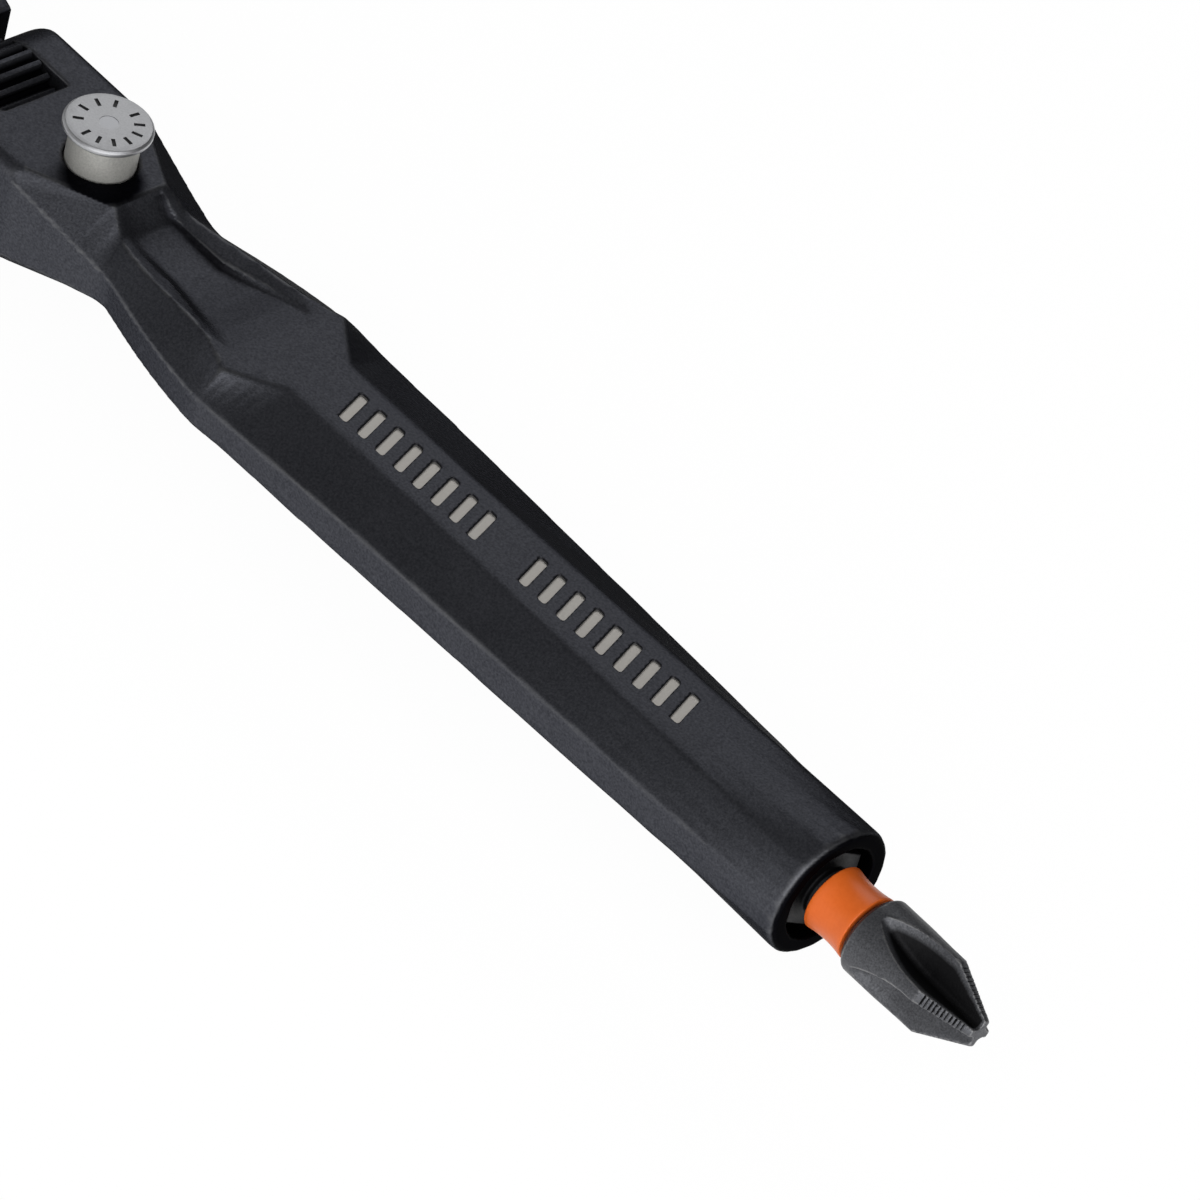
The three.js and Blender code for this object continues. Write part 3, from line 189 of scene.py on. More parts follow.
sheet_mesh = bmesh.new()
bmesh.ops.create_grid(sheet_mesh, x_segments=1, y_segments=1, size=FLOOR_HALF)
bmesh.ops.translate(sheet_mesh, vec=(0, 0, -FLOOR_GAP), verts=sheet_mesh.verts)
floor = link_mesh("floor", sheet_mesh)
floor.data.materials.append(paper_material())
floor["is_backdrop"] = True
print("floor half width", FLOOR_HALF, "m")

# %% World
BAND = (0.0, 0.56)
BAND_LIGHT = (1.0, 0.17)
FAR_SIDE = (-0.2, 0.5)
FAR_SIDE_LIGHT = (1.0, 0.12)

world = bpy.data.worlds.new("studio_world")
world.use_nodes = True
bpy.context.scene.world = world
sky = world.node_tree
sky.nodes.clear()
heading = add_node(sky, "ShaderNodeTexCoord", (-800, 0))
split = add_node(sky, "ShaderNodeSeparateXYZ", (-600, 0))
sky.links.new(heading.outputs["Generated"], split.inputs[0])
upward = smooth_range(sky, split.outputs["Z"], BAND, BAND_LIGHT, (-400, 0))
backward = smooth_range(sky, split.outputs["Y"], FAR_SIDE, FAR_SIDE_LIGHT, (-400, -300))
room = add_node(sky, "ShaderNodeBackground", (-200, 0))
room.inputs["Color"].default_value = WHITE
sky.links.new(math_node(sky, "MULTIPLY", upward, backward, (-200, -150)), room.inputs["Strength"])
sky_out = add_node(sky, "ShaderNodeOutputWorld", (0, 0))
sky.links.new(room.outputs[0], sky_out.inputs["Surface"])
bpy.context.scene.view_settings.view_transform = "Standard"
print("room light from the horizon to overhead:", BAND_LIGHT)

# %% Lamps


def softbox(name, direction, distance, size, watts):
    lamp = bpy.data.lights.new(name, "AREA")
    lamp.shape = "SQUARE"
    lamp.size = size
    lamp.energy = watts
    holder = bpy.data.objects.new(name, lamp)
    away = Vector(direction).normalized()
    holder.location = MIDDLE + away * distance
    holder.rotation_euler = away.to_track_quat("Z", "Y").to_euler()
    bpy.context.scene.collection.objects.link(holder)
    print("lamp", name, watts, "W")


softbox("back_top", direction=(-0.52, 0.6, 0.62), distance=0.9, size=0.45, watts=1.0)
softbox("front_top", direction=(0.78, -0.62, 0.45), distance=1.0, size=1.4, watts=11.0)

# %% [markdown]
# Shared surface effects
#
# Several finishes need the same few effects: a fine grain, worn edges, painted shade and fine machining
# lines. Each is a node group, built once, with its sizes in millimetres as inputs. A plain copy of the
# nodes in every material would work too, but one group can be tuned in one place.

# %% Group helpers


def new_group(name, inputs, outputs):
    group = bpy.data.node_groups.new(name, "ShaderNodeTree")
    for label, value in inputs:
        socket = group.interface.new_socket(label, in_out="INPUT", socket_type="NodeSocketFloat")
        socket.default_value = value
    for label in outputs:
        group.interface.new_socket(label, in_out="OUTPUT", socket_type="NodeSocketFloat")
    start = add_node(group, "NodeGroupInput", (-1200, 0))
    end = add_node(group, "NodeGroupOutput", (600, 0))
    return group, start, end


def millimetres(tree, stretch=(1.0, 1.0, 1.0)):
    spot = add_node(tree, "ShaderNodeTexCoord", (-1200, -300))
    scale = add_node(tree, "ShaderNodeMapping", (-1000, -300))
    scale.inputs["Scale"].default_value = [s / MM for s in stretch]
    tree.links.new(spot.outputs["Object"], scale.inputs["Vector"])
    return scale.outputs["Vector"]


def noise(tree, vector, scale, detail, rough):
    node = add_node(tree, "ShaderNodeTexNoise")
    tree.links.new(vector, node.inputs["Vector"])
    node.inputs["Detail"].default_value = detail
    node.inputs["Roughness"].default_value = rough
    if isinstance(scale, (int, float)):
        node.inputs["Scale"].default_value = scale
    else:
        tree.links.new(scale, node.inputs["Scale"])
    return node.outputs["Fac"]


# %% Grain group
SPECKLE_FROM = 0.3
SPECKLE_TO = 0.7

grain_group, start, end = new_group("fine_grain", [("Grain Size", 0.3), ("Mottle Size", 6.0)],
                                    ["Height", "Speckle", "Mottle"])
coords = millimetres(grain_group)
grain_scale = math_node(grain_group, "DIVIDE", 1.0, start.outputs["Grain Size"])
mottle_scale = math_node(grain_group, "DIVIDE", 1.0, start.outputs["Mottle Size"])
grit = noise(grain_group, coords, grain_scale, detail=3.0, rough=0.6)
clouds = noise(grain_group, coords, mottle_scale, detail=4.0, rough=0.55)
contrast = add_node(grain_group, "ShaderNodeMapRange", (200, 0))
contrast.inputs["From Min"].default_value = SPECKLE_FROM
contrast.inputs["From Max"].default_value = SPECKLE_TO
grain_group.links.new(grit, contrast.inputs["Value"])
grain_group.links.new(grit, end.inputs["Height"])
grain_group.links.new(contrast.outputs[0], end.inputs["Speckle"])
grain_group.links.new(clouds, end.inputs["Mottle"])
print("group", grain_group.name)

# %% Wear group
PATCHES_PER_MM = 0.35
SPECKS_PER_MM = 3.0
WEAR_GAIN = 3.0

wear_group, start, end = new_group("worn_edges", [("Patchiness", 0.5)], ["Mask"])
edge = add_node(wear_group, "ShaderNodeAttribute", (-1000, 200), attribute_name="edge")
coords = millimetres(wear_group)
patches = noise(wear_group, coords, PATCHES_PER_MM, detail=4.0, rough=0.6)
specks = noise(wear_group, coords, SPECKS_PER_MM, detail=3.0, rough=0.6)
cover = math_node(wear_group, "MULTIPLY", patches, start.outputs["Patchiness"])
rubbed = math_node(wear_group, "SUBTRACT", edge.outputs["Fac"], cover)
speckled = math_node(wear_group, "MULTIPLY", rubbed, specks)
worn_mask = math_node(wear_group, "MULTIPLY", speckled, WEAR_GAIN, clamp=True)
wear_group.links.new(worn_mask, end.inputs["Mask"])
print("group", wear_group.name)

# %% Painted shade group
BLOTCHES_PER_MM = 1.6

# This group reads the attribute painted_shade and breaks it up with blotches into a mask of painted shade.
shade_group, start, end = new_group("painted_shade_group", [("Breakup", 0.3)], ["Mask"])
shaded = add_node(shade_group, "ShaderNodeAttribute", (-1000, 200), attribute_name="painted_shade")
blotches = noise(shade_group, millimetres(shade_group), BLOTCHES_PER_MM, detail=4.0, rough=0.6)
ragged = math_node(shade_group, "MULTIPLY", blotches, start.outputs["Breakup"])
whole = math_node(shade_group, "ADD", 1.0, start.outputs["Breakup"])
spread = math_node(shade_group, "MULTIPLY", shaded.outputs["Fac"], whole)
shade_mask = math_node(shade_group, "SUBTRACT", spread, ragged, clamp=True)
shade_group.links.new(shade_mask, end.inputs["Mask"])
print("group", shade_group.name)

# %% Machining lines group
LINE_STRETCH = (1.0, 0.08, 1.0)

lines_group, start, end = new_group("machining_lines", [("Pitch", 0.12)], ["Height"])
line_scale = math_node(lines_group, "DIVIDE", 1.0, start.outputs["Pitch"])
scratches = noise(lines_group, millimetres(lines_group, LINE_STRETCH), line_scale, detail=2.0, rough=0.5)
lines_group.links.new(scratches, end.inputs["Height"])
print("group", lines_group.name)

# %% [markdown]
# Finishes
#
# The handle wears a thin black coat over shot-blasted steel: dark grey, matte, with a grain of a few
# tenths of a millimetre, and grey steel shining through along handled edges. The button is zinc plated,
# the bit is phosphated, and the drive is bright steel. All share one recipe with different numbers: a
# base colour that varies, a roughness that varies with it, and a bump from the grain.

# %% Metal recipe
WORN_METALLIC = 0.9


def ramp(tree, fac, low, high, place):
    mix = add_node(tree, "ShaderNodeMix", place, data_type="RGBA")
    tree.links.new(fac, mix.inputs["Factor"])
    mix.inputs["A"].default_value = (*low, 1.0)
    mix.inputs["B"].default_value = (*high, 1.0)
    return mix.outputs["Result"]


def painted_over(tree, under, mask, colour, place):
    mix = add_node(tree, "ShaderNodeMix", place, data_type="RGBA")
    tree.links.new(mask, mix.inputs["Factor"])
    tree.links.new(under, mix.inputs["A"])
    mix.inputs["B"].default_value = (*colour, 1.0)
    return mix.outputs["Result"]


def value_range(tree, fac, low, high, place):
    node = add_node(tree, "ShaderNodeMapRange", place)
    tree.links.new(fac, node.inputs["Value"])
    node.inputs["To Min"].default_value = low
    node.inputs["To Max"].default_value = high
    return node.outputs["Result"]


def metal(name, dark, light, rough, metallic, grain, depth, mottle, lines=None, wear=None, patchiness=0.5,
          shine=0.5, edge_tint=1.0, speckle=0.0, shade_colour=None):
    material = bpy.data.materials.new(name)
    material.use_nodes = True
    tree = material.node_tree
    shader = tree.nodes["Principled BSDF"]
    shader.inputs["Specular IOR Level"].default_value = shine
    shader.inputs["Specular Tint"].default_value = (edge_tint, edge_tint, edge_tint, 1.0)
    shader.inputs["Metallic"].default_value = metallic
    grains = add_node(tree, "ShaderNodeGroup", (-800, 0), node_tree=grain_group)
    grains.inputs["Grain Size"].default_value = grain
    grains.inputs["Mottle Size"].default_value = mottle
    broad = math_node(tree, "MULTIPLY", grains.outputs["Mottle"], 1.0 - speckle, (-650, 250))
    tiny = math_node(tree, "MULTIPLY", grains.outputs["Speckle"], speckle, (-650, 150))
    colour = ramp(tree, math_node(tree, "ADD", broad, tiny, (-600, 200)), dark, light, (-500, 200))
    roughness = value_range(tree, grains.outputs["Mottle"], *rough, (-500, -50))
    height = grains.outputs["Height"]
    if lines:
        marks = add_node(tree, "ShaderNodeGroup", (-800, -300), node_tree=lines_group)
        marks.inputs["Pitch"].default_value = lines
        height = math_node(tree, "ADD", height, marks.outputs["Height"])
    if wear:
        worn = add_node(tree, "ShaderNodeGroup", (-800, 300), node_tree=wear_group)
        worn.inputs["Patchiness"].default_value = patchiness
        colour = painted_over(tree, colour, worn.outputs["Mask"], wear, (-250, 200))
        laid_bare = value_range(tree, worn.outputs["Mask"], metallic, WORN_METALLIC, (-250, 400))
        tree.links.new(laid_bare, shader.inputs["Metallic"])
    # Where the painted shade mask is set, the colour is painted darker as shade.
    if shade_colour:
        shade_amount = add_node(tree, "ShaderNodeGroup", (-500, 500), node_tree=shade_group)
        colour = painted_over(tree, colour, shade_amount.outputs["Mask"], shade_colour, (-100, 300))
    bump = add_node(tree, "ShaderNodeBump", (-250, -250))
    bump.inputs["Strength"].default_value = 1.0
    bump.inputs["Distance"].default_value = depth * MM
    tree.links.new(height, bump.inputs["Height"])
    tree.links.new(bump.outputs["Normal"], shader.inputs["Normal"])
    tree.links.new(colour, shader.inputs["Base Color"])
    tree.links.new(roughness, shader.inputs["Roughness"])
    print("finish", name)
    return material


# %% Black, blued and phosphated finishes
# The shade_colour of the coat and of the phosphate is the near-black colour of painted shade.
coat = metal("black_coat", dark=(0.042, 0.0435, 0.051), light=(0.106, 0.109, 0.124), rough=(0.42, 0.5),
             metallic=0.95, grain=0.2, depth=0.02, mottle=6.0, wear=(0.13, 0.132, 0.14), patchiness=0.6,
             shine=0.26, edge_tint=0.1, speckle=0.65, shade_colour=(0.006, 0.006, 0.008))
blued = metal("blued_steel", dark=(0.05, 0.054, 0.066), light=(0.09, 0.095, 0.112), rough=(0.4, 0.5),
              metallic=0.9, grain=0.2, depth=0.008, mottle=3.0, wear=(0.2, 0.2, 0.21), edge_tint=0.3,
              speckle=0.4)
phosphate = metal("grey_phosphate", dark=(0.04, 0.041, 0.046), light=(0.15, 0.153, 0.165),
                  rough=(0.4, 0.54), metallic=0.8, grain=0.15, depth=0.02, mottle=1.2,
                  wear=(0.24, 0.24, 0.245), patchiness=0.8, speckle=0.6, shade_colour=(0.007, 0.007, 0.008))
stamped = metal("stamped_marks", dark=(0.03, 0.03, 0.032), light=(0.05, 0.05, 0.052), rough=(0.5, 0.6),
                metallic=0.3, grain=0.15, depth=0.01, mottle=1.0)

# %% Bright and painted finishes
zinc = metal("satin_zinc", dark=(0.43, 0.435, 0.45), light=(0.55, 0.555, 0.57), rough=(0.4, 0.5),
             metallic=1.0, grain=0.16, depth=0.014, mottle=2.0, speckle=0.6)
old_zinc = metal("yellowed_zinc", dark=(0.5, 0.5, 0.47), light=(0.74, 0.73, 0.69), rough=(0.42, 0.52),
                 metallic=0.55, grain=0.16, depth=0.015, mottle=1.2, speckle=0.6)
burnished = metal("burnished_dot", dark=(0.3, 0.305, 0.32), light=(0.36, 0.365, 0.38), rough=(0.3, 0.36),
                  metallic=1.0, grain=0.1, depth=0.004, mottle=0.6)
steel = metal("bright_steel", dark=(0.31, 0.312, 0.318), light=(0.45, 0.452, 0.458), rough=(0.26, 0.38),
              metallic=1.0, grain=0.3, depth=0.004, mottle=5.0, lines=0.1)
spring_wire = metal("spring_wire", dark=(0.36, 0.36, 0.37), light=(0.46, 0.46, 0.47), rough=(0.26, 0.36),
                    metallic=1.0, grain=0.15, depth=0.004, mottle=1.0)
bare = metal("bare_engraving", dark=(0.42, 0.4, 0.37), light=(0.55, 0.53, 0.5), rough=(0.4, 0.5),
             metallic=0.8, grain=0.2, depth=0.01, mottle=1.5)
orange = metal("orange_band", dark=(0.9, 0.15, 0.012), light=(1.0, 0.2, 0.03), rough=(0.34, 0.44),
               metallic=0.0, grain=0.25, depth=0.006, mottle=2.0, speckle=0.3)

# %% [markdown]
# Carried-over solids
#
# The small pieces and those inside the tool are already right as solids, so they only get their finish.
# The larger ones could wait, but they are painted here too, before a finer piece takes their place. Each
# solid's slot in the record says which finish it has.

# %% Paint the solids
NODE_FINISHES = {
    coat: ["handle", "head_body", "cover_plate", "selector_lever"],
    zinc: ["release_button"],
    steel: ["drive_gear", "detent_ball", "bit_magnet", "pawl_pin", "pawl_pusher"],
    blued: ["pivot_pin", "pawl", "lock_plunger", "cover_screw_1", "cover_screw_2", "cover_screw_3"],
    spring_wire: ["lock_spring", "detent_spring", "pusher_spring", "selector_clip"],
    phosphate: ["driver_bit"],
    orange: ["bit_band"],
}
for finish, names in NODE_FINISHES.items():
    for name in names:
        nodes[name].data.materials.clear()
        nodes[name].data.materials.append(finish)
print("painted", sum(len(names) for names in NODE_FINISHES.values()), "solids")

# %% [markdown]
# The forged handle
#
# A forged and blasted handle has no sharp edge: every fold is rounded by a few tenths of a millimetre.
# Bevels on such a many-faced form tangle where several folds meet. A fine voxel remesh of a merged copy,
# followed by rounds of smoothing, rounds all folds, as blasting and coating do. A weight on each point
# says how much: the long folds of the grip are soft, while the machined slot and bores stay crisp.

# %% Copy and modifier helpers
MERGE_DISTANCE = 0.0005


def merged_copy(node, name):
    bm = bmesh.new()
    bm.from_mesh(nodes[node].data)
    bmesh.ops.remove_doubles(bm, verts=bm.verts, dist=MERGE_DISTANCE * MM)
    return link_mesh(name, bm)


def apply_modifiers(piece):
    bpy.context.view_layer.update()
    graph = bpy.context.evaluated_depsgraph_get()
    done = bpy.data.meshes.new_from_object(piece.evaluated_get(graph))
    old = piece.data
    piece.modifiers.clear()
    piece.data = done
    bpy.data.meshes.remove(old)
    print(piece.name, len(done.polygons), "faces")


def carve(piece, cutter):
    cut = piece.modifiers.new("carving", "BOOLEAN")
    cut.operation = "DIFFERENCE"
    cut.solver = "EXACT"
    cut.object = cutter
    apply_modifiers(piece)
    bpy.data.objects.remove(cutter)


def dress(piece, body, node, slot, *finishes):
    while len(piece.data.materials) < len(finishes):
        piece.data.materials.append(None)
    for place, finish in enumerate(finishes):
        piece.data.materials[place] = finish
    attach(piece, body)
    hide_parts(node)


# %% Skin and smoothing helpers
SMOOTH_FACTOR = 0.5


def voxel_skin(piece, voxel):
    skin = piece.modifiers.new("fine_skin", "REMESH")
    skin.mode = "VOXEL"
    skin.voxel_size = voxel * MM
    skin.use_smooth_shade = True
    apply_modifiers(piece)


def soften(piece, rounds, weights=None):
    smooth = piece.modifiers.new("blasting", "SMOOTH")
    smooth.factor = SMOOTH_FACTOR
    smooth.iterations = rounds
    if weights is not None:
        group = piece.vertex_groups.new(name="softness")
        for level in np.unique(weights):
            group.add(np.flatnonzero(weights == level).tolist(), float(level), "REPLACE")
        smooth.vertex_group = group.name
    apply_modifiers(piece)
    piece.vertex_groups.clear()


# %% Measuring helpers
PIVOT_X = 19.0
AXIS_Z = 12.2


def points_of(mesh, field="co"):
    values = np.empty(len(mesh.vertices) * 3)
    mesh.vertices.foreach_get(field, values)
    return values.reshape(-1, 3)


def tool_places(piece):
    """Each point's station behind the pivot, place across and height over the axis, in millimetres."""
    place = points_of(piece.data) / MM
    return place[:, 0] - PIVOT_X, place[:, 1], place[:, 2] - AXIS_Z


def within(values, limits):
    return (values > limits[0]) & (values < limits[1])


def bulge_of(mesh):
    """How far each point of a fine mesh stands out of its neighbours' middle, in metres."""
    co = points_of(mesh)
    ends = np.empty(len(mesh.edges) * 2, int)
    mesh.edges.foreach_get("vertices", ends)
    ends = ends.reshape(-1, 2)
    total = np.zeros_like(co)
    links = np.zeros(len(co))
    for one, other in ((0, 1), (1, 0)):
        np.add.at(total, ends[:, one], co[ends[:, other]])
        np.add.at(links, ends[:, one], 1)
    return ((co - total / np.maximum(links, 1)[:, None]) * points_of(mesh, "normal")).sum(axis=1)


def mark_edges(piece, reach):
    """Writes how sharply each point bulges as the attribute edge, from 0 to 1."""
    edge = np.clip(bulge_of(piece.data) / (reach * MM), 0, 1)
    piece.data.attributes.new("edge", "FLOAT", "POINT").data.foreach_set("value", edge)
    print(piece.name, "worn points:", int((edge > 0).sum()), "of", len(edge))


def mark_painted_shade(piece, amount):
    """Writes where the colour is painted darker as shade, as the attribute painted_shade, from 0 to 1."""
    shade_amount = np.clip(amount, 0, 1)
    piece.data.attributes.new("painted_shade", "FLOAT", "POINT").data.foreach_set("value", shade_amount)
    print(piece.name, "sheltered points:", int((shade_amount > 0).sum()))


# %% Softened handle
HANDLE_VOXEL = 0.2
SKIN_ROUNDS = 2
FORGED_ROUNDS = 14
HOLLOW_STATIONS = (16.0, 31.0)
NECK_STATIONS = (10.0, 33.0)
SHOULDER_STATIONS = (33.0, 38.0)
YOKE_STATION = 9.5
YOKE_INNER = 4.4
BUTTON_STATION = 12.0
BUTTON_ROOM = 3.9
MOUTH_STATION = 93.0
SIDE_HEIGHT = 2.3
SIDE_SOFTNESS = 0.4
MOUTH_SOFTNESS = 0.2
HALF_SOFT = 0.5

handle = merged_copy("handle", "forged_handle")
voxel_skin(handle, HANDLE_VOXEL)
station, across, height = tool_places(handle)
in_hollow = within(station, HOLLOW_STATIONS) & (height > 0)
soften(handle, SKIN_ROUNDS, np.where(in_hollow, HALF_SOFT, 1.0))
softness = np.where(np.abs(height) > SIDE_HEIGHT, 1.0, SIDE_SOFTNESS)
softness[(station < YOKE_STATION) & (np.abs(across) < YOKE_INNER)] = 0.0
softness[np.hypot(station - BUTTON_STATION, across) < BUTTON_ROOM] = 0.0
softness[station > MOUTH_STATION] = MOUTH_SOFTNESS
softness[within(station, NECK_STATIONS)] = 0.0
softness[within(station, SHOULDER_STATIONS)] = HALF_SOFT
soften(handle, FORGED_ROUNDS, softness)

# %% Thumb hollow
RIM_STATIONS = (17.0, 19.6, 24.0, 30.2, 32.5)
RIM_HALVES = (1.95, 2.24, 2.36, 3.7, 4.0)
LEFT_WALL = (-0.4, 1.6)
WALL_ROUNDS = 60
HANDLE_WEAR_REACH = 0.02


def past_rim(side):
    """How far inside the thumb hollow's rim each point of the neck's top lies, on the side given."""
    station, across, height = tool_places(handle)
    inside = np.interp(station, RIM_STATIONS, RIM_HALVES) - side * across
    on_neck = within(station, (RIM_STATIONS[0], RIM_STATIONS[-1])) & (height > 0)
    return np.where(on_neck, inside, -1.0)


soften(handle, WALL_ROUNDS, np.where(within(past_rim(-1), LEFT_WALL), 1.0, 0.0))
mark_edges(handle, HANDLE_WEAR_REACH)

# %% [markdown]
# Painted shade on the handle
#
# The coat is painted nearly black as shade in the yoke's slot, as the button's shadow round the foot of
# the button, in the socket, on the base's end face and along one crease of the thumb hollow. Such shade can
# be painted by hand or found by a cavity shader. Here each place is a distance or a direction that is easy
# to work out at every point, kept as the attribute that the coat reads.

# %% Slot shade and button shadow
TOP_HEIGHT = 4.5
SLOT_END = 6.3
SLOT_REACH = 3.15
SLOT_LIP = 0.05
SLOT_FADE = 0.4
BUTTON_SHADOW_CENTRE = (13.9, -1.35)
BUTTON_SHADOW_RADIUS = 3.75
BUTTON_SHADOW_FADE = 1.2
BUTTON_SHADOW_MOST = 0.9
BUTTON_SHADOW_DEPTH = 0.15

station, across, height = tool_places(handle)
# Inside the yoke's slot, below its top, the coat is painted darker as shade.
in_slot = (station < SLOT_END) & (np.abs(across) < SLOT_REACH)
slot_shade = np.where(in_slot, (TOP_HEIGHT - SLOT_LIP - np.abs(height)) / SLOT_FADE, 0)
# Round the foot of the button, mostly to its front and left, the top is painted dark as the button's
# shadow.
from_button_shadow = np.hypot(station - BUTTON_SHADOW_CENTRE[0], across - BUTTON_SHADOW_CENTRE[1])
shadow_strength = np.minimum((BUTTON_SHADOW_RADIUS - from_button_shadow) / BUTTON_SHADOW_FADE, BUTTON_SHADOW_MOST)
button_shadow = np.where(height > TOP_HEIGHT - BUTTON_SHADOW_DEPTH, shadow_strength, 0)
print("slot points:", int(in_slot.sum()))

# %% Socket, end face and crease shade
BASE_END = 113.8
SOCKET_STATION = 60.0
MOUTH_RADIUS = 4.15
FACING_IN = 0.4
AXIS_CORE = 0.01
END_DEPTH = 0.4
END_FACING = 0.55
END_FADE = 0.3
CREASE_END = 30.0
CREASE_RUN = 6.0
CREASE_MOST = 0.75
CREASE_WIDTH = 0.3
CREASE_REACH = 0.5

normal = points_of(handle.data, "normal")
from_axis = np.hypot(across, height)
outward = (across * normal[:, 1] + height * normal[:, 2]) / np.maximum(from_axis, AXIS_CORE)
# Inside the socket the coat is painted dark as shade, and so is the base's end face, which faces along the
# handle.
bore_shade = (station > SOCKET_STATION) & (from_axis < MOUTH_RADIUS) & (outward < FACING_IN)
at_end = station + PIVOT_X > BASE_END - END_DEPTH
end_shade = np.where(at_end, (normal[:, 0] - END_FACING) / END_FADE, 0)
# From the foot of the thumb hollow's right wall, painted shade fades out across the hollow's floor.
right_wall = past_rim(1)
crease = CREASE_MOST * np.clip((CREASE_END - station) / CREASE_RUN, 0, 1)
from_crease = np.maximum(right_wall - CREASE_WIDTH, 0)
crease_shade = np.where(right_wall > 0, crease * np.exp(-from_crease / CREASE_REACH), 0)
painted_shades = [slot_shade, button_shadow, bore_shade, end_shade, crease_shade]
mark_painted_shade(handle, np.maximum.reduce(painted_shades))

# %% [markdown]
# Engraved bars on the grip
#
# The top of the grip carries two rows of shallow slanted bars with bare metal at the bottom. A texture
# could fake them, but a cut gives real walls that catch the light. Each bar is a sheared cube, set on the
# surface that a ray from above finds, and all of them are cut in one go.

# %% Engraving
BAR_LENGTH = 3.3
BAR_WIDTH = 0.95
BAR_DEPTH = 0.2
BAR_SLANT = 0.34
BAR_CORNER = 0.3
BAR_PITCH = 2.05
BAR_ROWS = ((41.6, 8), (61.6, 9))
BAR_STATIONS = [start + BAR_PITCH * i for start, count in BAR_ROWS for i in range(count)]
CUTTER_HEIGHT = 2.0
RAY_START = 0.1
FACING_DOWN = -0.5


def surface_height(piece, x, y):
    hit, spot, _, _ = piece.ray_cast(Vector((x, y, RAY_START)), Vector((0, 0, -1)))
    assert hit
    return spot.z


def add_bar(bm, x):
    top = surface_height(handle, x, 0)
    ahead = surface_height(handle, x + MM, 0)
    made = bmesh.ops.create_cube(bm, size=MM)["verts"]
    bmesh.ops.scale(bm, vec=(BAR_WIDTH, BAR_LENGTH, CUTTER_HEIGHT), verts=made)
    uprights = [e for e in {e for v in made for e in v.link_edges}
                if abs(e.verts[0].co.z - e.verts[1].co.z) > CUTTER_HEIGHT / 2 * MM]
    rounded = bmesh.ops.bevel(bm, geom=uprights, offset=BAR_CORNER * MM, offset_type="OFFSET", segments=4,
                              profile=0.5, affect="EDGES", material=-1)
    made = list({v for f in rounded["faces"] for v in f.verts} | {v for v in made if v.is_valid})
    shear = Matrix.Identity(4)
    shear[0][1] = -BAR_SLANT
    shear[2][0] = (ahead - top) / MM
    bmesh.ops.transform(bm, matrix=shear, verts=made)
    bmesh.ops.translate(bm, vec=(x, 0, top + (CUTTER_HEIGHT / 2 - BAR_DEPTH) * MM), verts=made)


def engraving_cutter():
    bm = bmesh.new()
    for bar in BAR_STATIONS:
        add_bar(bm, (PIVOT_X + bar) * MM)
    bmesh.ops.recalc_face_normals(bm, faces=bm.faces)
    for face in bm.faces:
        face.material_index = 1 if face.normal.z < FACING_DOWN else 0
    cutter = link_mesh("engraving_cutter", bm)
    cutter.data.materials.append(coat)
    cutter.data.materials.append(bare)
    return cutter


handle.data.materials.clear()
handle.data.materials.append(coat)
handle.data.materials.append(bare)
carve(handle, engraving_cutter())
dress(handle, "handle", "handle", "coated_steel", coat, bare)
print("engraved", len(BAR_STATIONS), "bars", BAR_DEPTH, "mm deep")

# %% [markdown]
# Machined pieces with broken edges
#
# The head, the lever, the drive and the small turned pieces are machined, and a machinist breaks every
# edge. The bevel modifier does that on a merged copy, limited to edges sharper than a set angle. The new
# narrow faces are remembered as worn, because plating and coating rub off there first.

# %% Broken edges
FLAT_ANGLE = 0.6
SHARP_ANGLE = 24


def broken_edges(node, name, width, segments=2):
    piece = merged_copy(node, name)
    piece.data.materials.clear()
    bm = bmesh.new()
    bm.from_mesh(piece.data)
    bmesh.ops.dissolve_limit(bm, angle_limit=math.radians(FLAT_ANGLE), verts=bm.verts, edges=bm.edges)
    for face in bm.faces:
        face.material_index = 0
        face.smooth = True
    bm.to_mesh(piece.data)
    bm.free()
    piece.data.materials.append(None)
    piece.data.materials.append(None)
    bevel = piece.modifiers.new("broken_edges", "BEVEL")
    bevel.width = width * MM
    bevel.segments = segments
    bevel.limit_method = "ANGLE"
    bevel.angle_limit = math.radians(SHARP_ANGLE)
    bevel.harden_normals = True
    bevel.material = 1
    apply_modifiers(piece)
    mesh = piece.data
    edge = [float(face.material_index == 1) for face in mesh.polygons]
    for face in mesh.polygons:
        face.material_index = 0
    mesh.materials.pop()
    mesh.attributes.new("edge", "FLOAT", "FACE").data.foreach_set("value", edge)
    return piece


# %% Head
TOOTH_TIP = 4.6
TOOTH_MARGIN = 0.3
TANG_HALF = 3.05
GROOVE_FADE = 0.3
HEAD_REAR = 13.9
REAR_DEPTH = 0.03
REAR_SHADE = 0.85

head = broken_edges("head_body", "machined_head", width=0.1)
# The grooves between the tang's teeth are painted darker as shade, and the head's rear face is painted dark
# as shade.
station, across, height = tool_places(head)
from_pivot = np.hypot(station, height)
on_tang = (from_pivot < TOOTH_TIP + TOOTH_MARGIN) & (np.abs(across) < TANG_HALF)
on_rear = np.abs(station + PIVOT_X - HEAD_REAR) < REAR_DEPTH
rear_shade = np.where(on_rear, REAR_SHADE, 0)
mark_painted_shade(head, np.where(on_tang, (TOOTH_TIP - from_pivot) / GROOVE_FADE, rear_shade))
dress(head, "head", "head_body", "coated_steel", coat)

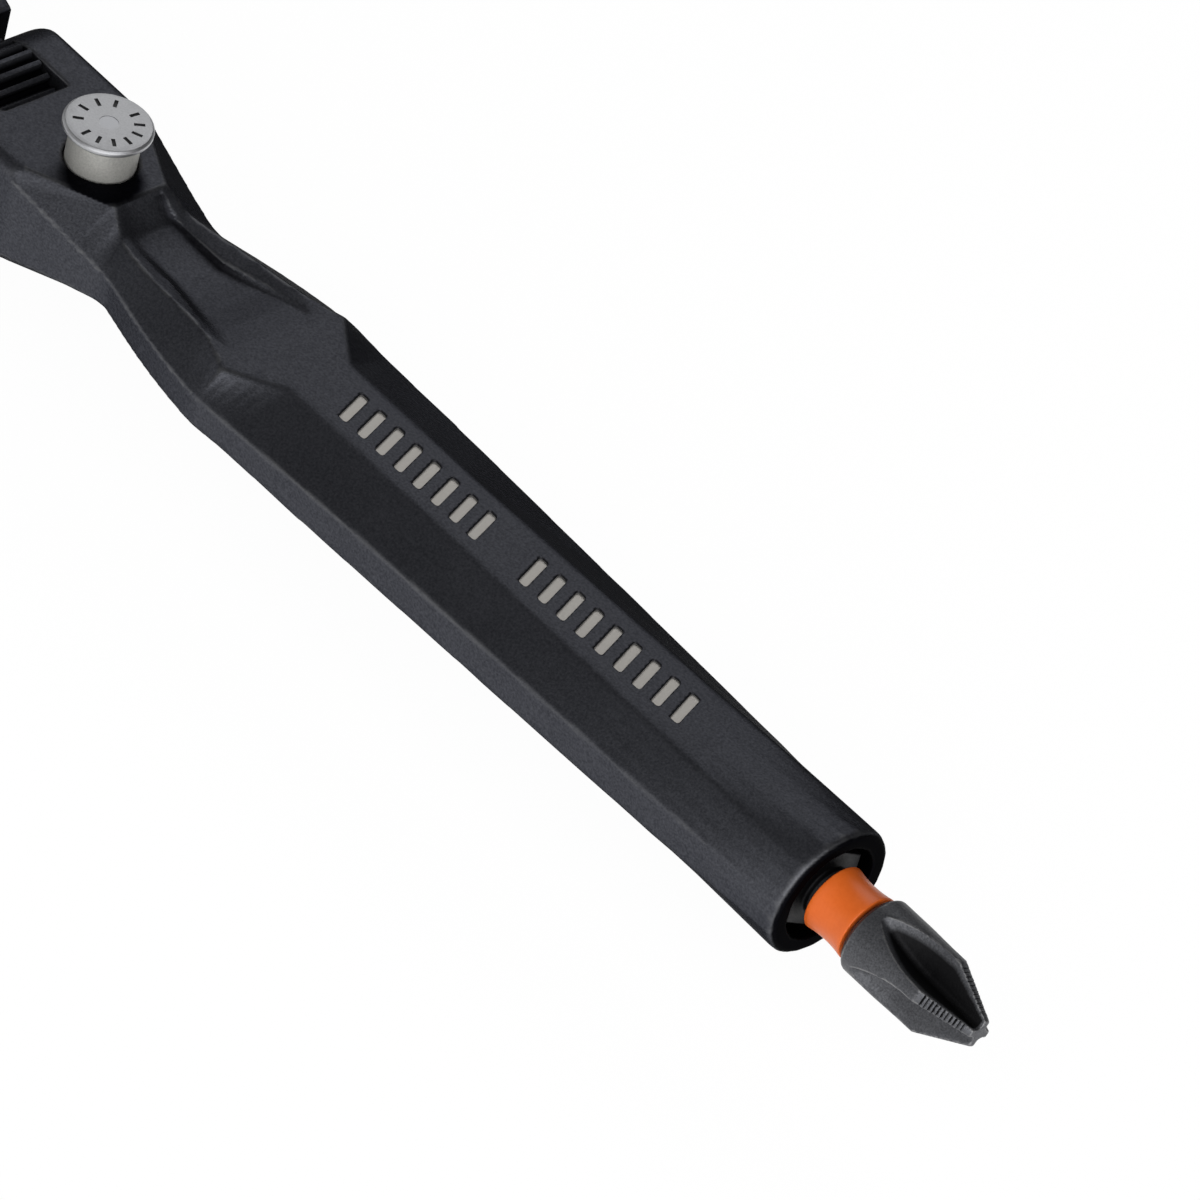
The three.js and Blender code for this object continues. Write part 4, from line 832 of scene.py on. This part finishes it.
# %% Lever, drive, cover, pin and band
lever = broken_edges("selector_lever", "reversing_lever", width=0.25, segments=3)
dress(lever, "selector", "selector_lever", "coated_steel", coat)
gear = broken_edges("drive_gear", "square_drive", width=0.06)
dress(gear, "drive", "drive_gear", "bright_steel", steel)
cover = broken_edges("cover_plate", "coated_cover", width=0.12)
dress(cover, "head", "cover_plate", "coated_steel", coat)
pin = broken_edges("pivot_pin", "peened_pin", width=0.2, segments=4)
dress(pin, "handle", "pivot_pin", "blued_steel", blued)
band = broken_edges("bit_band", "painted_band", width=0.12, segments=3)
dress(band, "bit", "bit_band", "orange_band", orange)

# %% [markdown]
# The release button
#
# The button is turned from steel and zinc plated. Its flange carries two arcs of stamped strokes round a
# burnished dot. They could be painted on, but here they are small bars cut into the top, so they keep
# their own dark walls and floors. The yellowed plating of the stem is a second finish on the faces below.

# %% Button marks
BUTTON_X = PIVOT_X + BUTTON_STATION
MARK_RADIUS = 2.3
MARK_SIZE = (0.85, 0.3)
MARK_DEPTH = 0.12
MARK_ARCS = ((128, 34, 4), (-88, 28.7, 7))
MARK_ANGLES = [first + step * i for first, step, count in MARK_ARCS for i in range(count)]
DOT_RADIUS = 0.75
DOT_DEPTH = 0.03
DOT_SIDES = 40
CUTTER_HALF = 0.5
BUTTON_FINISHES = (zinc, old_zinc, stamped, burnished)


def mark_cutter(top):
    bm = bmesh.new()
    for angle in MARK_ANGLES:
        made = bmesh.ops.create_cube(bm, size=MM)["verts"]
        bmesh.ops.scale(bm, vec=(*MARK_SIZE, 1.0), verts=made)
        lift = top + (CUTTER_HALF - MARK_DEPTH) * MM
        bmesh.ops.translate(bm, vec=(MARK_RADIUS * MM, 0, lift), verts=made)
        turn = Matrix.Rotation(math.radians(angle), 4, "Z")
        bmesh.ops.transform(bm, matrix=turn, verts=made)
    for face in bm.faces:
        face.material_index = BUTTON_FINISHES.index(stamped)
    dot = bmesh.ops.create_cone(bm, cap_ends=True, segments=DOT_SIDES, radius1=DOT_RADIUS * MM,
                                radius2=DOT_RADIUS * MM, depth=MM)["verts"]
    bmesh.ops.translate(bm, vec=(0, 0, top + (CUTTER_HALF - DOT_DEPTH) * MM), verts=dot)
    for face in {f for v in dot for f in v.link_faces}:
        face.material_index = BUTTON_FINISHES.index(burnished)
    bmesh.ops.translate(bm, vec=(BUTTON_X * MM, 0, 0), verts=bm.verts)
    return link_mesh("mark_cutter", bm)


# %% Button
FLANGE_THICK = 0.75

button = broken_edges("release_button", "zinc_button", width=0.09, segments=3)
flange_top = points_of(button.data)[:, 2].max()
for face in button.data.polygons:
    face.material_index = 0 if face.center.z > flange_top - FLANGE_THICK * MM else 1
marks = mark_cutter(flange_top)
for finish in BUTTON_FINISHES:
    marks.data.materials.append(finish)
while len(button.data.materials) < len(BUTTON_FINISHES):
    button.data.materials.append(None)
carve(button, marks)
dress(button, "button", "release_button", "zinc_steel", *BUTTON_FINISHES)
print("button with", len(MARK_ANGLES), "strokes", MARK_DEPTH, "mm deep")

# %% [markdown]
# The stored bit
#
# The bit is cold formed and phosphated, so its flutes have round bottoms and its wings soft edges, with
# fine ribs across each wing near the point that grip a screw. A fine voxel skin rounds it like the handle,
# and thin rings cut the ribs afterwards, because the skin would blur them. The flutes are painted darker
# as shade, most of all the upper ones, and so is the shank inside the socket.

# %% Bit skin
BIT_VOXEL = 0.11
BIT_ROUNDS = 2
BIT_WEAR_REACH = 0.012

bit = merged_copy("driver_bit", "cross_point_bit")
voxel_skin(bit, BIT_VOXEL)
soften(bit, BIT_ROUNDS)
mark_edges(bit, BIT_WEAR_REACH)

# %% Shaded flutes and shank
SLICE = 0.2
FLUTE_START = 5.0
POINT_LENGTH = 0.3
FLUTE_SHARE = 0.9
FLUTE_FADE = 0.15
UPPER_MIDDLE = 0.6
UPPER_GAIN = 2.0
LOWER_LEAST = 0.25
BIT_CORE = 0.1
SOCKET_DEPTH = 0.3
SHANK_SHADE = 0.95

# The flutes are painted darker as shade, most of all the upper ones, and so is the shank inside the socket.
place = points_of(bit.data) / MM
along = place[:, 0]
from_axis = np.hypot(place[:, 1], place[:, 2] - AXIS_Z)
slice_of = np.round((along - along.min()) / SLICE).astype(int)
outermost = np.zeros(slice_of.max() + 1)
np.maximum.at(outermost, slice_of, from_axis)
on_flutes = within(along, (BASE_END + FLUTE_START, along.max() - POINT_LENGTH))
deep = np.clip((FLUTE_SHARE - from_axis / outermost[slice_of]) / FLUTE_FADE, 0, 1)
rise = (place[:, 2] - AXIS_Z) / np.maximum(from_axis, BIT_CORE)
upper = np.clip(UPPER_MIDDLE + UPPER_GAIN * rise, LOWER_LEAST, 1)
socket_shade = np.where(along < BASE_END - SOCKET_DEPTH, SHANK_SHADE, 0)
mark_painted_shade(bit, np.where(on_flutes, deep * upper, socket_shade))

# %% Bit ribs
RIB_START = 11.9
RIB_PITCH = 0.3
RIB_COUNT = 11
RIB_WIDTH = 0.13
RIB_DEPTH = 0.08
RIB_OVERCUT = 1.5
RIB_STEPS = 72
NEAR = 0.1


def reach_at(piece, x):
    """Largest distance from the bit's axis of the points near x, in millimetres."""
    place = points_of(piece.data) / MM
    near = place[np.abs(place[:, 0] - x) < NEAR]
    return np.hypot(near[:, 1], near[:, 2] - AXIS_Z).max()


def rib_cutter():
    bm = bmesh.new()
    for i in range(RIB_COUNT):
        x = BASE_END + RIB_START + i * RIB_PITCH
        front, back = x - RIB_WIDTH / 2, x + RIB_WIDTH / 2
        inner = reach_at(bit, x) - RIB_DEPTH
        outer = inner + RIB_OVERCUT
        corners = [(front, inner), (back, inner), (back, outer), (front, outer)]
        ring = [bm.verts.new((px * MM, 0, (AXIS_Z + r) * MM)) for px, r in corners]
        edges = [bm.edges.new((ring[k], ring[(k + 1) % 4])) for k in range(4)]
        bmesh.ops.spin(bm, geom=ring + edges, cent=(0, 0, AXIS_Z * MM), axis=(1, 0, 0), steps=RIB_STEPS,
                       angle=2 * math.pi, use_merge=True)
    bmesh.ops.recalc_face_normals(bm, faces=bm.faces)
    return link_mesh("rib_cutter", bm)


carve(bit, rib_cutter())
dress(bit, "bit", "driver_bit", "phosphate_steel", phosphate)
print("bit with", RIB_COUNT, "ribs", RIB_DEPTH, "mm deep")

# %% [markdown]
# Sizes
#
# Smoothing and bevels take material off the outside, so the dressed tool should stay inside the box of
# its solids. Looking at the picture would not show a tenth of a millimetre, so both boxes are measured
# and written down.

# %% Sizes
visual_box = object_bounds()
growth = (visual_box[1] - visual_box[0]) - (cad_box[1] - cad_box[0])
print("box grows by mm:", [round(v / MM, 3) for v in growth])
